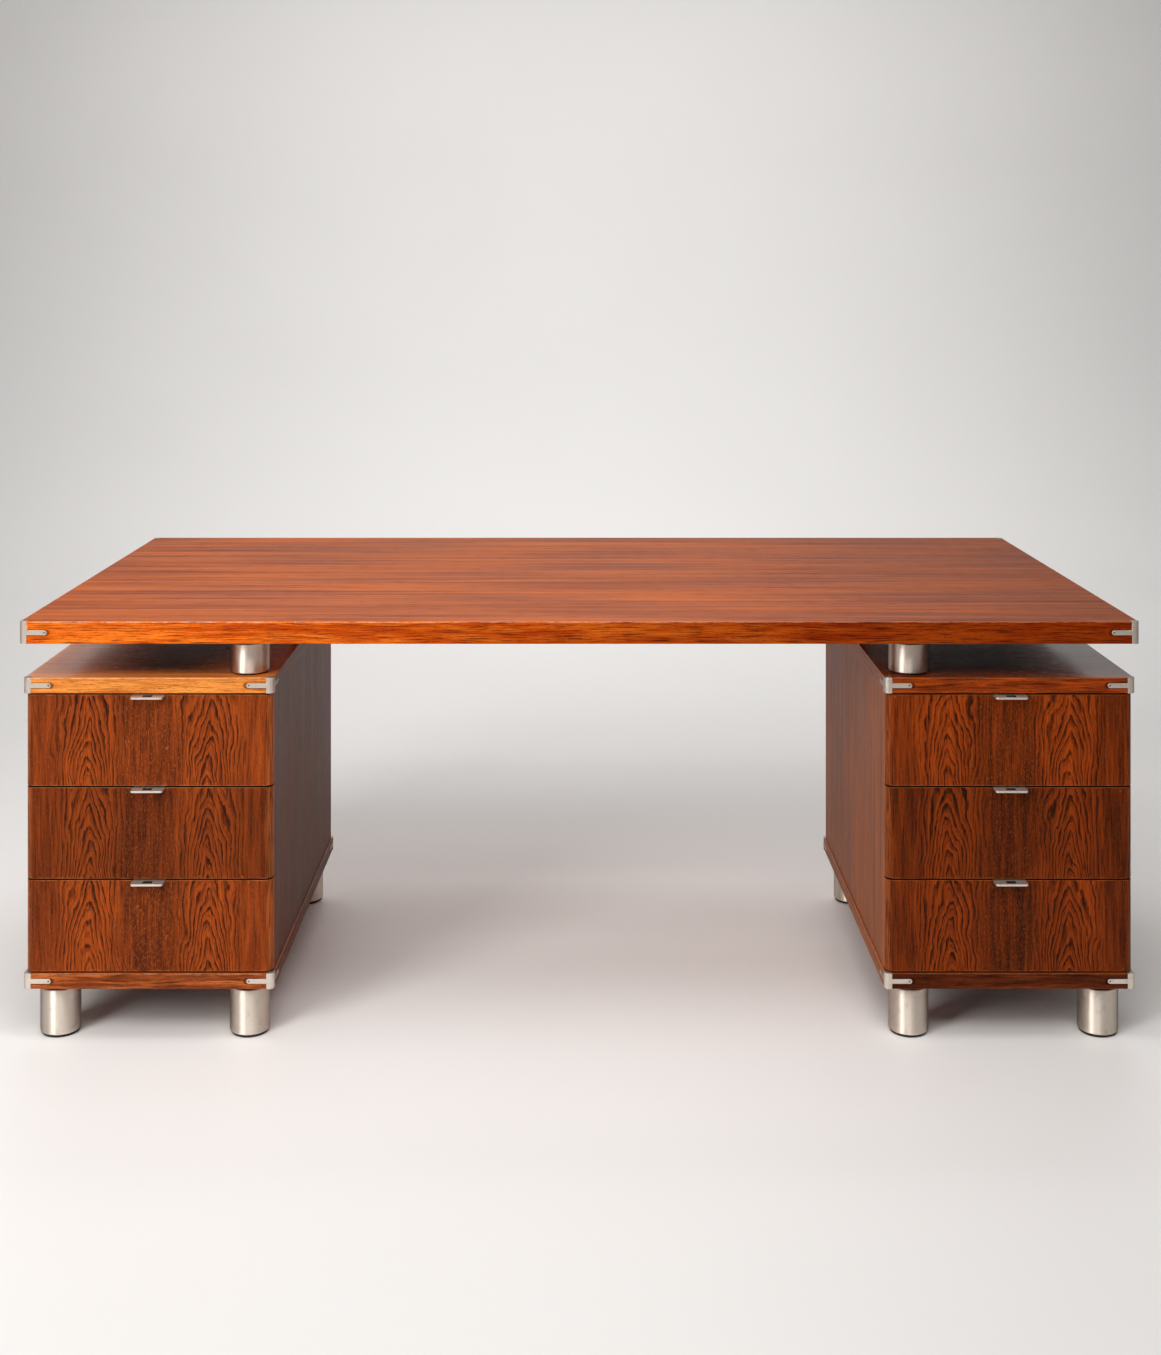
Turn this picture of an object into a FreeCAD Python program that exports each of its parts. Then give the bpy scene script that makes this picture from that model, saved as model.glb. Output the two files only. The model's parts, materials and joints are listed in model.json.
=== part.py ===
"""Executive desk: a slab top carried on short columns over two pedestals of three drawers.

Every board is a core panel with solid lippings and metal clips on its four corners.
Millimetres. X runs along the desk, Y from the front (drawer side) to the back, Z up.
The origin is on the floor under the middle of the desktop.
"""
import FreeCAD, Part
import os
import re
import Sketcher

os.makedirs("parts", exist_ok=True)
doc = FreeCAD.newDocument("executive_desk")

# Driving dimensions
driving = {
    "desk_width": 2000,
    "desk_depth": 1000,
    "desktop_thickness": 40,
    "lipping_thickness": 13,
    "edge_round": 1.5,
    "pedestal_width": 450,
    "pedestal_depth": 770,
    "pedestal_setback": 24,
    "slab_thickness": 28,
    "shell_inset": 3,
    "side_thickness": 22,
    "back_thickness": 20,
    "front_height": 164,
    "front_thickness": 22,
    "front_gap": 3,
    "corner_round": 14,
    "column_diameter": 72,
    "column_inset": 52,
    "column_wall": 4,
    "column_end": 10,
    "rim_chamfer": 1.5,
    "leg_height": 82,
    "spacer_height": 54,
    "neck_height": 9,
    "neck_diameter": 58,
    "pad_height": 3,
    "pad_diameter": 64,
    "glide_height": 5,
    "glide_diameter": 67,
    "spigot_height": 12,
    "bolt_diameter": 10,
    "bolt_head_diameter": 17,
    "bolt_head_height": 8,
    "bolt_sink": 1,
    "bolt_bite": 26,
    "bore_slack": 0.5,
    "clip_proud": 0.8,
    "clip_round": 9,
    "strap_length": 36,
    "strap_height": 8.5,
    "strap_thickness": 3,
    "pin_diameter": 3.2,
    "pin_length": 10,
    "pin_sink": 0.6,
    "dowel_diameter": 6,
    "dowel_length": 40,
    "dowel_bite": 13,
    "runner_width": 10,
    "runner_height": 16,
    "runner_setback": 15,
    "runner_slack": 0.3,
    "runner_lift": 58,
    "stop_height": 8,
    "stop_length": 20,
    "drawer_travel": 450,
    "drawer_play": 3,
    "drawer_rear_space": 40,
    "box_lift": 14,
    "box_height": 130,
    "box_side": 15,
    "box_back": 13,
    "box_bottom": 6,
    "bottom_lift": 10,
    "housing_depth": 8,
    "bottom_housing": 6,
    "pull_width": 58,
    "pull_reach": 22,
    "pull_thickness": 3.5,
    "pull_round": 5,
    "slot_width": 17,
    "slot_depth": 12,
    "slot_margin": 5,
    "screw_diameter": 4,
    "screw_head_diameter": 7.5,
    "screw_head_height": 1.8,
    "screw_length": 22,
    "screw_spacing": 34,
}

# Sizes that follow from the driving ones
following = {
    "column_radius": "column_diameter / 2",
    "bolt_bore": "(bolt_diameter / 2 + bore_slack)",
    "pedestal_x": "(desk_width - pedestal_width) / 2",
    "desk_front": "(-desk_depth / 2)",
    "pedestal_front": "(desk_front + pedestal_setback)",
    "bottom_slab_z": "(glide_height + leg_height + neck_height)",
    "opening_z": "(bottom_slab_z + slab_thickness)",
    "opening_height": "(3 * front_height + 4 * front_gap)",
    "top_slab_z": "(opening_z + opening_height)",
    "deck_z": "(top_slab_z + slab_thickness)",
    "spacer_z": "(deck_z + pad_height)",
    "desktop_z": "(spacer_z + spacer_height + neck_height)",
    "shell_width": "(pedestal_width - 2 * shell_inset)",
    "front_y": "(pedestal_front + shell_inset)",
    "side_front": "(front_y + front_thickness + front_gap)",
    "back_y": "(pedestal_front + pedestal_depth - shell_inset - back_thickness)",
    "side_length": "(back_y - side_front)",
    "inside_width": "(shell_width - 2 * side_thickness)",
    "box_width": "(inside_width - 2 * drawer_play)",
    "box_length": "(side_length + front_gap - drawer_rear_space)",
    "groove_depth": "(runner_width - drawer_play + runner_slack)",
    "runner_start": "(front_gap + runner_setback)",
    "runner_length": "(side_length - runner_setback)",
    "strap_reach": "(strap_length - strap_height / 2)",
    "spacer_bolt_z": "(top_slab_z + bolt_sink)",
    "leg_bolt_z": "(opening_z - bolt_sink)",
    "column_x": "(pedestal_width / 2 - column_inset)",
    "column_front_y": "(pedestal_front + column_inset)",
    "column_back_y": "(pedestal_front + pedestal_depth - column_inset)",
    "side_panel_x": "(shell_width - side_thickness) / 2",
    "dowel_x": "(pedestal_width - lipping_thickness - shell_inset - side_thickness) / 2",
    "drawer_pitch": "(front_height + front_gap)",
}

sheet = doc.addObject("Spreadsheet::Sheet", "Sizes")
for row, (alias, value) in enumerate(driving.items(), start=1):
    sheet.set(f"A{row}", alias)
    sheet.set(f"B{row}", str(value))
    sheet.setAlias(f"B{row}", alias)
doc.recompute()


# Helpers
def sized(text):
    """Turn bare size names into references to the cells of the sheet."""
    def spell_out(found):
        name = found.group(0)
        if name in following:
            return sized(f"({following[name]})")
        return f"Sizes.{name}" if name in driving else name
    return re.sub(r"[a-z]+(?:_[a-z]+)+", spell_out, str(text))


def value_of(text):
    return float(sheet.evalExpression(sized(text)))


def bind(thing, **sizes):
    for name, text in sizes.items():
        thing.setExpression(name, sized(text))


def place(thing, x=0, y=0, z=0, turn=None):
    """Set a piece down at x, y, z; turn is an axis and an angle in degrees."""
    if turn:
        thing.Placement = FreeCAD.Placement(FreeCAD.Vector(), FreeCAD.Rotation(*turn))
    for axis, text in zip("xyz", (x, y, z)):
        thing.setExpression(f"Placement.Base.{axis}", sized(text))


ALONG_X = FreeCAD.Vector(1, 0, 0)
ALONG_Y = FreeCAD.Vector(0, 1, 0)
UPWARD = FreeCAD.Vector(0, 0, 1)


def new(kind, name):
    thing = doc.addObject(kind, name)
    thing.Label = name
    return thing


def block(name, length, width, height, x=0, y=0, z=0):
    board = new("Part::Box", name)
    bind(board, Length=length, Width=width, Height=height)
    place(board, x, y, z)
    return board


def cut(name, base, tools):
    piece = new("Part::Cut", name)
    piece.Base = base
    piece.Tool = group(f"{name}_cutters", tools)
    return piece


def group(name, members):
    pieces = new("Part::Compound", name)
    pieces.Links = members
    return pieces


def copy(source, name, x=0, y=0, z=0, turn=None):
    twin = new("App::Link", name)
    twin.LinkedObject = source
    place(twin, x, y, z, turn)
    return twin


def feature(body, kind, name, x=0, y=0, z=0, turn=None, **sizes):
    """Add or take away a primitive inside a body."""
    step = body.newObject(f"PartDesign::{kind}", name)
    bind(step, **sizes)
    place(step, x, y, z, turn)
    doc.recompute()
    return step


def origin_plane(body, role):
    return next(item for item in body.Origin.OriginFeatures if item.Role == role)


def outline(body, name, role, corners):
    """A closed sketch of straight lines with every corner bound to the sheet."""
    sketch = body.newObject("Sketcher::SketchObject", name)
    sketch.AttachmentSupport = [(origin_plane(body, role), "")]
    sketch.MapMode = "FlatFace"
    points = [FreeCAD.Vector(value_of(across), value_of(up), 0) for across, up in corners]
    count = len(points)
    for index, point in enumerate(points):
        sketch.addGeometry(Part.LineSegment(point, points[(index + 1) % count]))
    for index in range(count):
        sketch.addConstraint(Sketcher.Constraint("Coincident", index, 2, (index + 1) % count, 1))
    for index, corner in enumerate(corners):
        for kind, axis, text in zip(("DistanceX", "DistanceY"), (-2, -1), corner):
            if value_of(text) == 0:
                sketch.addConstraint(Sketcher.Constraint("PointOnObject", index, 1, axis))
                continue
            distance = Sketcher.Constraint(kind, -1, 1, index, 1, value_of(text))
            number = sketch.addConstraint(distance)
            sketch.setExpression(f"Constraints[{number}]", sized(text))
    doc.recompute()
    return sketch


def turned(name, corners):
    """A body of revolution about Z from (radius, height) corners."""
    body = new("PartDesign::Body", name)
    sketch = outline(body, f"{name}_profile", "XZ_Plane", corners)
    spin = body.newObject("PartDesign::Revolution", f"{name}_spin")
    spin.Profile = sketch
    spin.ReferenceAxis = (sketch, ["V_Axis"])
    spin.Angle = 360
    doc.recompute()
    return body


def padded(name, corners, height):
    """A body raised from a plan outline."""
    body = new("PartDesign::Body", name)
    pad = body.newObject("PartDesign::Pad", f"{name}_pad")
    pad.Profile = outline(body, f"{name}_outline", "XY_Plane", corners)
    bind(pad, Length=height)
    doc.recompute()
    return body


def rectangle(left, right, front, back):
    return [(left, front), (right, front), (right, back), (left, back)]


def rounded(body, name, radius, wanted):
    """Round those edges of a body whose bounding box passes the test."""
    last = body.Tip
    edges = [f"Edge{number}" for number, edge in enumerate(last.Shape.Edges, start=1)
             if wanted(edge.BoundBox)]
    fillet = body.newObject("PartDesign::Fillet", name)
    fillet.Base = (last, edges)
    bind(fillet, Radius=radius)
    doc.recompute()


def near(one, other):
    return abs(one - other) < 1e-3


# Turned metal and rubber pieces
leg_profile = [
    ("column_radius - column_wall", 0),
    ("column_radius - rim_chamfer", 0),
    ("column_radius", "rim_chamfer"),
    ("column_radius", "leg_height - rim_chamfer"),
    ("column_radius - rim_chamfer", "leg_height"),
    ("bolt_diameter / 2", "leg_height"),
    ("bolt_diameter / 2", "leg_height - column_end"),
    ("column_radius - column_wall", "leg_height - column_end"),
]
spacer_profile = [
    ("bolt_bore", 0),
    ("column_radius - rim_chamfer", 0),
    ("column_radius", "rim_chamfer"),
    ("column_radius", "spacer_height - rim_chamfer"),
    ("column_radius - rim_chamfer", "spacer_height"),
    ("bolt_bore", "spacer_height"),
    ("bolt_bore", "spacer_height - column_end"),
    ("column_radius - column_wall", "spacer_height - column_end"),
    ("column_radius - column_wall", "column_end"),
    ("bolt_bore", "column_end"),
]
glide_profile = [
    (0, 0),
    ("glide_diameter / 2 - rim_chamfer", 0),
    ("glide_diameter / 2", "rim_chamfer"),
    ("glide_diameter / 2", "glide_height"),
    ("column_radius - column_wall - runner_slack", "glide_height"),
    ("column_radius - column_wall - runner_slack", "glide_height + spigot_height"),
    (0, "glide_height + spigot_height"),
]


def bolt_profile(shank):
    return [
        (0, 0),
        ("bolt_head_diameter / 2", 0),
        ("bolt_head_diameter / 2", "bolt_head_height"),
        ("bolt_diameter / 2", "bolt_head_height"),
        ("bolt_diameter / 2", f"bolt_head_height + {shank}"),
        (0, f"bolt_head_height + {shank}"),
    ]


def ring_profile(radius, height):
    return [("bolt_bore", 0), (radius, 0), (radius, height), ("bolt_bore", height)]


def rod_profile(radius, height):
    return [(0, 0), (radius, 0), (radius, height), (0, height)]


under_head = "slab_thickness - bolt_head_height - bolt_sink"
leg = turned("leg", leg_profile)
spacer = turned("spacer", spacer_profile)
glide = turned("glide", glide_profile)
neck = turned("neck", ring_profile("neck_diameter / 2", "neck_height"))
pad = turned("pad", ring_profile("pad_diameter / 2", "pad_height"))
spacer_bolt = turned("spacer_bolt", bolt_profile(
    f"{under_head} + pad_height + spacer_height + neck_height + bolt_bite"))
leg_bolt = turned("leg_bolt", bolt_profile(f"{under_head} + neck_height + column_end"))
pin = turned("pin", rod_profile("pin_diameter / 2", "pin_length"))
dowel = turned("dowel", rod_profile("dowel_diameter / 2", "dowel_length"))

# The bore that each bolt passes through in a slab: a wide part for the head, then a narrow one
bolt_bore = turned("bolt_bore", [
    (0, -5),
    ("bolt_head_diameter / 2 + bore_slack", -5),
    ("bolt_head_diameter / 2 + bore_slack", "bolt_head_height"),
    ("bolt_bore", "bolt_head_height"),
    ("bolt_bore", "slab_thickness + 5"),
    (0, "slab_thickness + 5"),
])


# Lippings and corner clips
def lipping(name, length, thickness):
    """A solid edge strip, outer face at y = 0, with a recess for a clip strap at each end."""
    body = new("PartDesign::Body", name)
    feature(body, "AdditiveBox", f"{name}_strip", x=f"-({length}) / 2",
            Length=length, Width="lipping_thickness", Height=thickness)
    rounded(body, f"{name}_round", "edge_round",
            lambda box: near(box.YMax, 0) and box.XLength > value_of("lipping_thickness")
            and near(box.ZLength, 0))
    middle = f"({thickness}) / 2"
    reach = f"(({length}) / 2 - strap_reach)"
    for end, start in ((-1, f"-({length}) / 2"), (1, reach)):
        feature(body, "SubtractiveBox", f"{name}_recess_{end + 1}", x=start, z=f"{middle} - strap_height / 2",
                Length="strap_reach", Width="strap_thickness - clip_proud", Height="strap_height")
        feature(body, "SubtractiveCylinder", f"{name}_recess_end_{end + 1}", x=f"{end} * {reach}", z=middle,
                turn=(ALONG_X, -90), Radius="strap_height / 2", Height="strap_thickness - clip_proud")
        feature(body, "SubtractiveCylinder", f"{name}_pin_hole_{end + 1}", x=f"{end} * {reach}", z=middle,
                turn=(ALONG_X, -90), Radius="pin_diameter / 2", Height="pin_sink + pin_length - clip_proud")
    return body


def corner_clip(name, thickness):
    """A rounded post for the corner of a board, with a pinned strap along each of its two edges."""
    body = padded(name, rectangle("-clip_proud", "lipping_thickness", "-clip_proud", "lipping_thickness"),
                  thickness)
    rounded(body, f"{name}_corner", "clip_round",
            lambda box: near(box.XMax, value_of("-clip_proud")) and near(box.YMax, value_of("-clip_proud")))
    middle = f"({thickness}) / 2"
    tip = "lipping_thickness + strap_reach"
    feature(body, "AdditiveBox", f"{name}_strap", x="lipping_thickness", y="-clip_proud",
            z=f"{middle} - strap_height / 2",
            Length="strap_reach", Width="strap_thickness", Height="strap_height")
    feature(body, "AdditiveCylinder", f"{name}_strap_end", x=tip, y="-clip_proud", z=middle,
            turn=(ALONG_X, -90), Radius="strap_height / 2", Height="strap_thickness")
    feature(body, "AdditiveBox", f"{name}_side_strap", x="-clip_proud", y="lipping_thickness",
            z=f"{middle} - strap_height / 2",
            Length="strap_thickness", Width="strap_reach", Height="strap_height")
    feature(body, "AdditiveCylinder", f"{name}_side_strap_end", x="-clip_proud", y=tip, z=middle,
            turn=(ALONG_Y, 90), Radius="strap_height / 2", Height="strap_thickness")
    feature(body, "SubtractiveCylinder", f"{name}_hole", x=tip, y="-clip_proud", z=middle,
            turn=(ALONG_X, -90), Radius="pin_diameter / 2", Height="strap_thickness")
    feature(body, "SubtractiveCylinder", f"{name}_side_hole", x="-clip_proud", y=tip, z=middle,
            turn=(ALONG_Y, 90), Radius="pin_diameter / 2", Height="strap_thickness")
    return body


def pin_pair(name, thickness):
    """The two pins of one clip."""
    middle = f"({thickness}) / 2"
    tip = "lipping_thickness + strap_reach"
    sunk = "pin_sink - clip_proud"
    return group(name, [
        copy(pin, f"{name}_along", tip, sunk, middle, (ALONG_X, -90)),
        copy(pin, f"{name}_aside", sunk, tip, middle, (ALONG_Y, 90)),
    ])


def board_fittings(name, width, depth, thickness):
    """What every board of one size shares: two lippings, a clip and its pins."""
    return {
        "front": lipping(f"{name}_front_lipping", f"{width} - 2 * lipping_thickness", thickness),
        "end": lipping(f"{name}_end_lipping", f"{depth} - 2 * lipping_thickness", thickness),
        "clip": corner_clip(f"{name}_clip", thickness),
        "pins": pin_pair(f"{name}_pins", thickness),
    }


def edge_board(name, fittings, x, front, z, width, depth):
    """Set lippings, clips and pins round one board."""
    left, right = f"{x} - {width} / 2", f"{x} + {width} / 2"
    back = f"{front} + {depth}"
    middle = f"{front} + {depth} / 2"
    lippings = [
        copy(fittings["front"], f"{name}_front_strip", x, front, z),
        copy(fittings["front"], f"{name}_back_strip", x, back, z, (UPWARD, 180)),
        copy(fittings["end"], f"{name}_left_strip", left, middle, z, (UPWARD, -90)),
        copy(fittings["end"], f"{name}_right_strip", right, middle, z, (UPWARD, 90)),
    ]
    corners = [(left, front, 0), (right, front, 90), (right, back, 180), (left, back, 270)]
    clips, pins = [], []
    for number, (across, along, angle) in enumerate(corners, start=1):
        spot = (across, along, z, (UPWARD, angle))
        clips.append(copy(fittings["clip"], f"{name}_clip_{number}", *spot))
        pins.append(copy(fittings["pins"], f"{name}_pins_{number}", *spot))
    return lippings, clips, pins


def core(name, x, front, z, width, depth, thickness):
    return block(name, f"{width} - 2 * lipping_thickness", f"{depth} - 2 * lipping_thickness", thickness,
                 f"{x} - {width} / 2 + lipping_thickness", f"{front} + lipping_thickness", z)


nodes = []


def keep(*pieces):
    """Note the sub-parts that are handed in; each Label names a file."""
    nodes.extend(pieces)


desktop_fittings = board_fittings("desktop", "desk_width", "desk_depth", "desktop_thickness")
slab_fittings = board_fittings("slab", "pedestal_width", "pedestal_depth", "slab_thickness")
strips, clips, all_pins = edge_board("desktop", desktop_fittings, 0, "desk_front", "desktop_z",
                                     "desk_width", "desk_depth")
keep(group("desktop_lippings", strips), group("desktop_corner_clips", clips))

# Drawer pieces, drawn for a drawer whose front stands at y = 0 and z = 0
drawer_front = padded("drawer_front_master",
                      rectangle("-shell_width / 2", "shell_width / 2", 0, "front_thickness"), "front_height")
rounded(drawer_front, "front_edges", "corner_round",
        lambda box: near(box.YMax, 0) and box.ZLength > value_of("front_height / 2"))
for side in (-1, 1):
    feature(drawer_front, "SubtractiveBox", f"side_housing_{side + 1}",
            x=f"{side} * (box_width - box_side) / 2 - box_side / 2",
            y="front_thickness - housing_depth", z="box_lift",
            Length="box_side", Width="housing_depth", Height="box_height")
feature(drawer_front, "SubtractiveBox", "bottom_slot", x="-(box_width / 2 - box_side)",
        y="front_thickness - bottom_housing", z="box_lift + bottom_lift",
        Length="box_width - 2 * box_side", Width="bottom_housing", Height="box_bottom")
feature(drawer_front, "SubtractiveBox", "pull_seat", x="-pull_width / 2",
        z="front_height - pull_thickness",
        Length="pull_width", Width="front_thickness", Height="pull_thickness")
for side in (-1, 1):
    feature(drawer_front, "SubtractiveCylinder", f"screw_pilot_{side + 1}",
            x=f"{side} * screw_spacing / 2", y="front_thickness / 2",
            z="front_height - screw_length", Radius="screw_diameter / 2", Height="screw_length")

# The pull plate lies in the top edge of the front and reaches out past it
plate = padded("pull_plate",
               rectangle("-pull_width / 2", "pull_width / 2", "-pull_reach", "front_thickness"),
               "pull_thickness")
rounded(plate, "plate_corners", "pull_round",
        lambda box: near(box.YMax, value_of("-pull_reach")) and box.ZLength > 1)
feature(plate, "SubtractiveBox", "finger_slot", x="-slot_width / 2", y="slot_margin - pull_reach",
        Length="slot_width", Width="slot_depth", Height="pull_thickness")
screw = turned("pull_screw", [
    (0, 0),
    ("screw_diameter / 2", 0),
    ("screw_diameter / 2", "screw_length - screw_head_height"),
    ("screw_head_diameter / 2", "screw_length"),
    (0, "screw_length"),
])
screws = [copy(screw, f"pull_screw_{side + 1}", f"{side} * screw_spacing / 2", "front_thickness / 2",
               "pull_thickness - screw_length") for side in (-1, 1)]
pull = group("pull_master", [cut("pull_plate_drilled", plate, screws), *screws])

# One drawer side with a stepped runner groove outside and a bottom groove inside
side_blank = block("drawer_side_blank", "box_side", "housing_depth + box_length", "box_height",
                   "-box_width / 2", "front_thickness - housing_depth", "box_lift")
groove_start = "front_thickness + runner_start - 2"
runner_groove = block("runner_groove", "groove_depth", "box_length + 2", "runner_height + 2 * runner_slack",
                      "-box_width / 2", groove_start, "runner_lift - runner_slack")
stop_groove = block("stop_groove", "groove_depth", "2 + stop_length + drawer_travel + runner_slack",
                    "stop_height + runner_slack", "-box_width / 2", groove_start,
                    "runner_lift + runner_height")
bottom_groove = block("bottom_groove", "bottom_housing", "housing_depth + box_length", "box_bottom",
                      "-box_width / 2 + box_side - bottom_housing", "front_thickness - housing_depth",
                      "box_lift + bottom_lift")
left_side = cut("drawer_left_side", side_blank, [runner_groove, stop_groove, bottom_groove])
right_side = new("Part::Mirroring", "drawer_right_side")
right_side.Source = left_side
right_side.Normal = ALONG_X
drawer_sides = group("drawer_sides_master", [left_side, right_side])
back_board = block("drawer_back_board", "box_width - 2 * box_side", "box_back",
                   "box_height - bottom_lift - box_bottom", "-box_width / 2 + box_side",
                   "front_thickness + box_length - box_back", "box_lift + bottom_lift + box_bottom")
bottom_board = block("drawer_bottom_board", "box_width - 2 * box_side + 2 * bottom_housing",
                     "bottom_housing + box_length", "box_bottom",
                     "-box_width / 2 + box_side - bottom_housing", "front_thickness - bottom_housing",
                     "box_lift + bottom_lift")
drawer_back = group("drawer_back_master", [back_board])
drawer_bottom = group("drawer_bottom_master", [bottom_board])

# A runner with a stop block at its front end, from y = 0 backwards
runner = new("PartDesign::Body", "runner")
feature(runner, "AdditiveBox", "runner_bar",
        Length="runner_width", Width="runner_length", Height="runner_height")
feature(runner, "AdditiveBox", "runner_stop", z="runner_height",
        Length="runner_width", Width="stop_length", Height="stop_height")

# Dowels of one pedestal, about its middle: side panels into both slabs and into the back panel.
# Each stands midway between the inner faces of the lipping and of the side panel.
dowels_per_edge = 4
dowels_per_back = 3
dowel_links = []
for side in (-1, 1):
    x = f"{side} * dowel_x"
    for number in range(dowels_per_edge):
        y = f"side_front + side_length * ({number} + 0.5) / {dowels_per_edge}"
        dowel_links.append(copy(dowel, f"dowel_low_{side + 1}_{number}", x, y, "opening_z - dowel_bite"))
        dowel_links.append(copy(dowel, f"dowel_high_{side + 1}_{number}", x, y,
                                "top_slab_z + dowel_bite - dowel_length"))
    for number in range(dowels_per_back):
        z = f"opening_z + opening_height * ({number} + 0.5) / {dowels_per_back}"
        dowel_links.append(copy(dowel, f"dowel_rear_{side + 1}_{number}", x,
                                "back_y + dowel_bite - dowel_length", z, (ALONG_X, -90)))
dowel_set = group("dowel_set", dowel_links)

# Pedestals
drawer_masters = {
    "front": (drawer_front, 0),
    "pull": (pull, "front_height - pull_thickness"),
    "sides": (drawer_sides, 0),
    "back": (drawer_back, 0),
    "bottom": (drawer_bottom, 0),
}
levels = ("bottom", "middle", "top")
upside_down = (ALONG_X, 180)
all_dowels, spacers, pads, necks, spacer_bolts, leg_bolts, glides = [], [], [], [], [], [], []

for hand, sign in (("left", -1), ("right", 1)):
    middle_x = f"({sign} * pedestal_x)"
    dowels = copy(dowel_set, f"{hand}_dowels", middle_x)
    all_dowels.append(dowels)

    # Spacer columns stand over the two inner legs
    spacer_bores = []
    for end in ("front", "back"):
        spot = (f"{middle_x} - {sign} * column_x", f"column_{end}_y")
        spacers.append(copy(spacer, f"{hand}_{end}_spacer", *spot, "spacer_z"))
        pads.append(copy(pad, f"{hand}_{end}_pad", *spot, "deck_z"))
        necks.append(copy(neck, f"{hand}_{end}_spacer_neck", *spot, "spacer_z + spacer_height"))
        spacer_bolts.append(copy(spacer_bolt, f"{hand}_{end}_spacer_bolt", *spot, "spacer_bolt_z"))
        spacer_bores.append(copy(bolt_bore, f"{hand}_{end}_spacer_bore", *spot, "spacer_bolt_z"))

    # Four legs
    legs, leg_bores = [], []
    for end in ("front", "back"):
        for side in (-1, 1):
            tag = f"{hand}_{end}_{side + 1}"
            spot = (f"{middle_x} + {side} * column_x", f"column_{end}_y")
            legs.append(copy(leg, f"{tag}_leg", *spot, "glide_height"))
            glides.append(copy(glide, f"{tag}_glide", *spot, 0))
            necks.append(copy(neck, f"{tag}_leg_neck", *spot, "glide_height + leg_height"))
            leg_bolts.append(copy(leg_bolt, f"{tag}_leg_bolt", *spot, "leg_bolt_z", upside_down))
            leg_bores.append(copy(bolt_bore, f"{tag}_leg_bore", *spot, "leg_bolt_z", upside_down))

    # Slabs with their lippings and clips
    pedestal_strips, pedestal_clips = [], []
    for level, bores in (("bottom", leg_bores), ("top", spacer_bores)):
        name = f"{hand}_{level}_slab"
        here = (middle_x, "pedestal_front", f"{level}_slab_z", "pedestal_width", "pedestal_depth")
        blank = core(f"{name}_blank", *here, "slab_thickness")
        keep(cut(name, blank, [dowels, *bores]))
        strips, clips, pins = edge_board(name, slab_fittings, *here)
        pedestal_strips += strips
        pedestal_clips += clips
        all_pins += pins
    keep(group(f"{hand}_slab_lippings", pedestal_strips))
    keep(group(f"{hand}_corner_clips", pedestal_clips))
    keep(group(f"{hand}_legs", legs))

    # Side panels and back panel
    for panel, side in (("outer", sign), ("inner", -sign)):
        name = f"{hand}_{panel}_side_panel"
        blank = block(f"{name}_blank", "side_thickness", "side_length", "opening_height",
                      f"{middle_x} + {side} * side_panel_x - side_thickness / 2", "side_front", "opening_z")
        keep(cut(name, blank, [dowels]))
    blank = padded(f"{hand}_back_blank", rectangle("-shell_width / 2", "shell_width / 2", 0, "back_thickness"),
                   "opening_height")
    rounded(blank, f"{hand}_back_edges", "corner_round",
            lambda box: near(box.YMin, value_of("back_thickness")) and box.ZLength > value_of("front_height"))
    place(blank, middle_x, "back_y", "opening_z")
    keep(cut(f"{hand}_back_panel", blank, [dowels]))

    # Runners and drawers
    runners = []
    for number, level in enumerate(levels):
        drawer_z = f"opening_z + front_gap + {number} * drawer_pitch"
        for side in (-1, 1):
            x = f"{middle_x} + {side} * (inside_width - runner_width) / 2 - runner_width / 2"
            runners.append(copy(runner, f"{hand}_{level}_runner_{side + 1}", x,
                                "side_front + runner_setback", f"{drawer_z} + runner_lift"))
        for piece, (master, rise) in drawer_masters.items():
            keep(copy(master, f"{hand}_{level}_drawer_{piece}", middle_x, "front_y", f"{drawer_z} + {rise}"))
    keep(group(f"{hand}_drawer_runners", runners))

# The desktop panel takes the ends of the four spacer bolts
desktop_blank = core("desktop_blank", 0, "desk_front", "desktop_z", "desk_width", "desk_depth",
                     "desktop_thickness")
keep(cut("desktop_panel", desktop_blank, spacer_bolts))
keep(group("clip_pins", all_pins))
keep(group("spacer_columns", spacers))
keep(group("spacer_pads", pads))
keep(group("column_necks", necks))
keep(group("spacer_bolts", spacer_bolts))
keep(group("leg_bolts", leg_bolts))
keep(group("leg_glides", glides))
keep(group("carcass_dowels", all_dowels))

# Check and export
doc.recompute()
for thing in doc.Objects:
    if "Invalid" in thing.State or "Error" in thing.State:
        raise RuntimeError(f"{thing.Label} did not build: {thing.State}")
for piece in nodes:
    shape = Part.getShape(piece)
    if shape.isNull() or not shape.isValid():
        raise RuntimeError(f"{piece.Label} has no valid shape")
    shape.exportStep(f"parts/{piece.Label}.step")
    print(piece.Label, len(shape.Solids), "solids", round(shape.Volume))
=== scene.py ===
# %% [markdown]
# # A desk on nickel columns, dressed over its frame
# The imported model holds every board, clip, leg and drawer of the desk in its true place, in metres.
# This lesson takes that frame and gives each piece eased edges, wood figure, satin metal and studio light.
# The frame is never moved: a finished piece is a copy of a frame piece that stands in for it.

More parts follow.
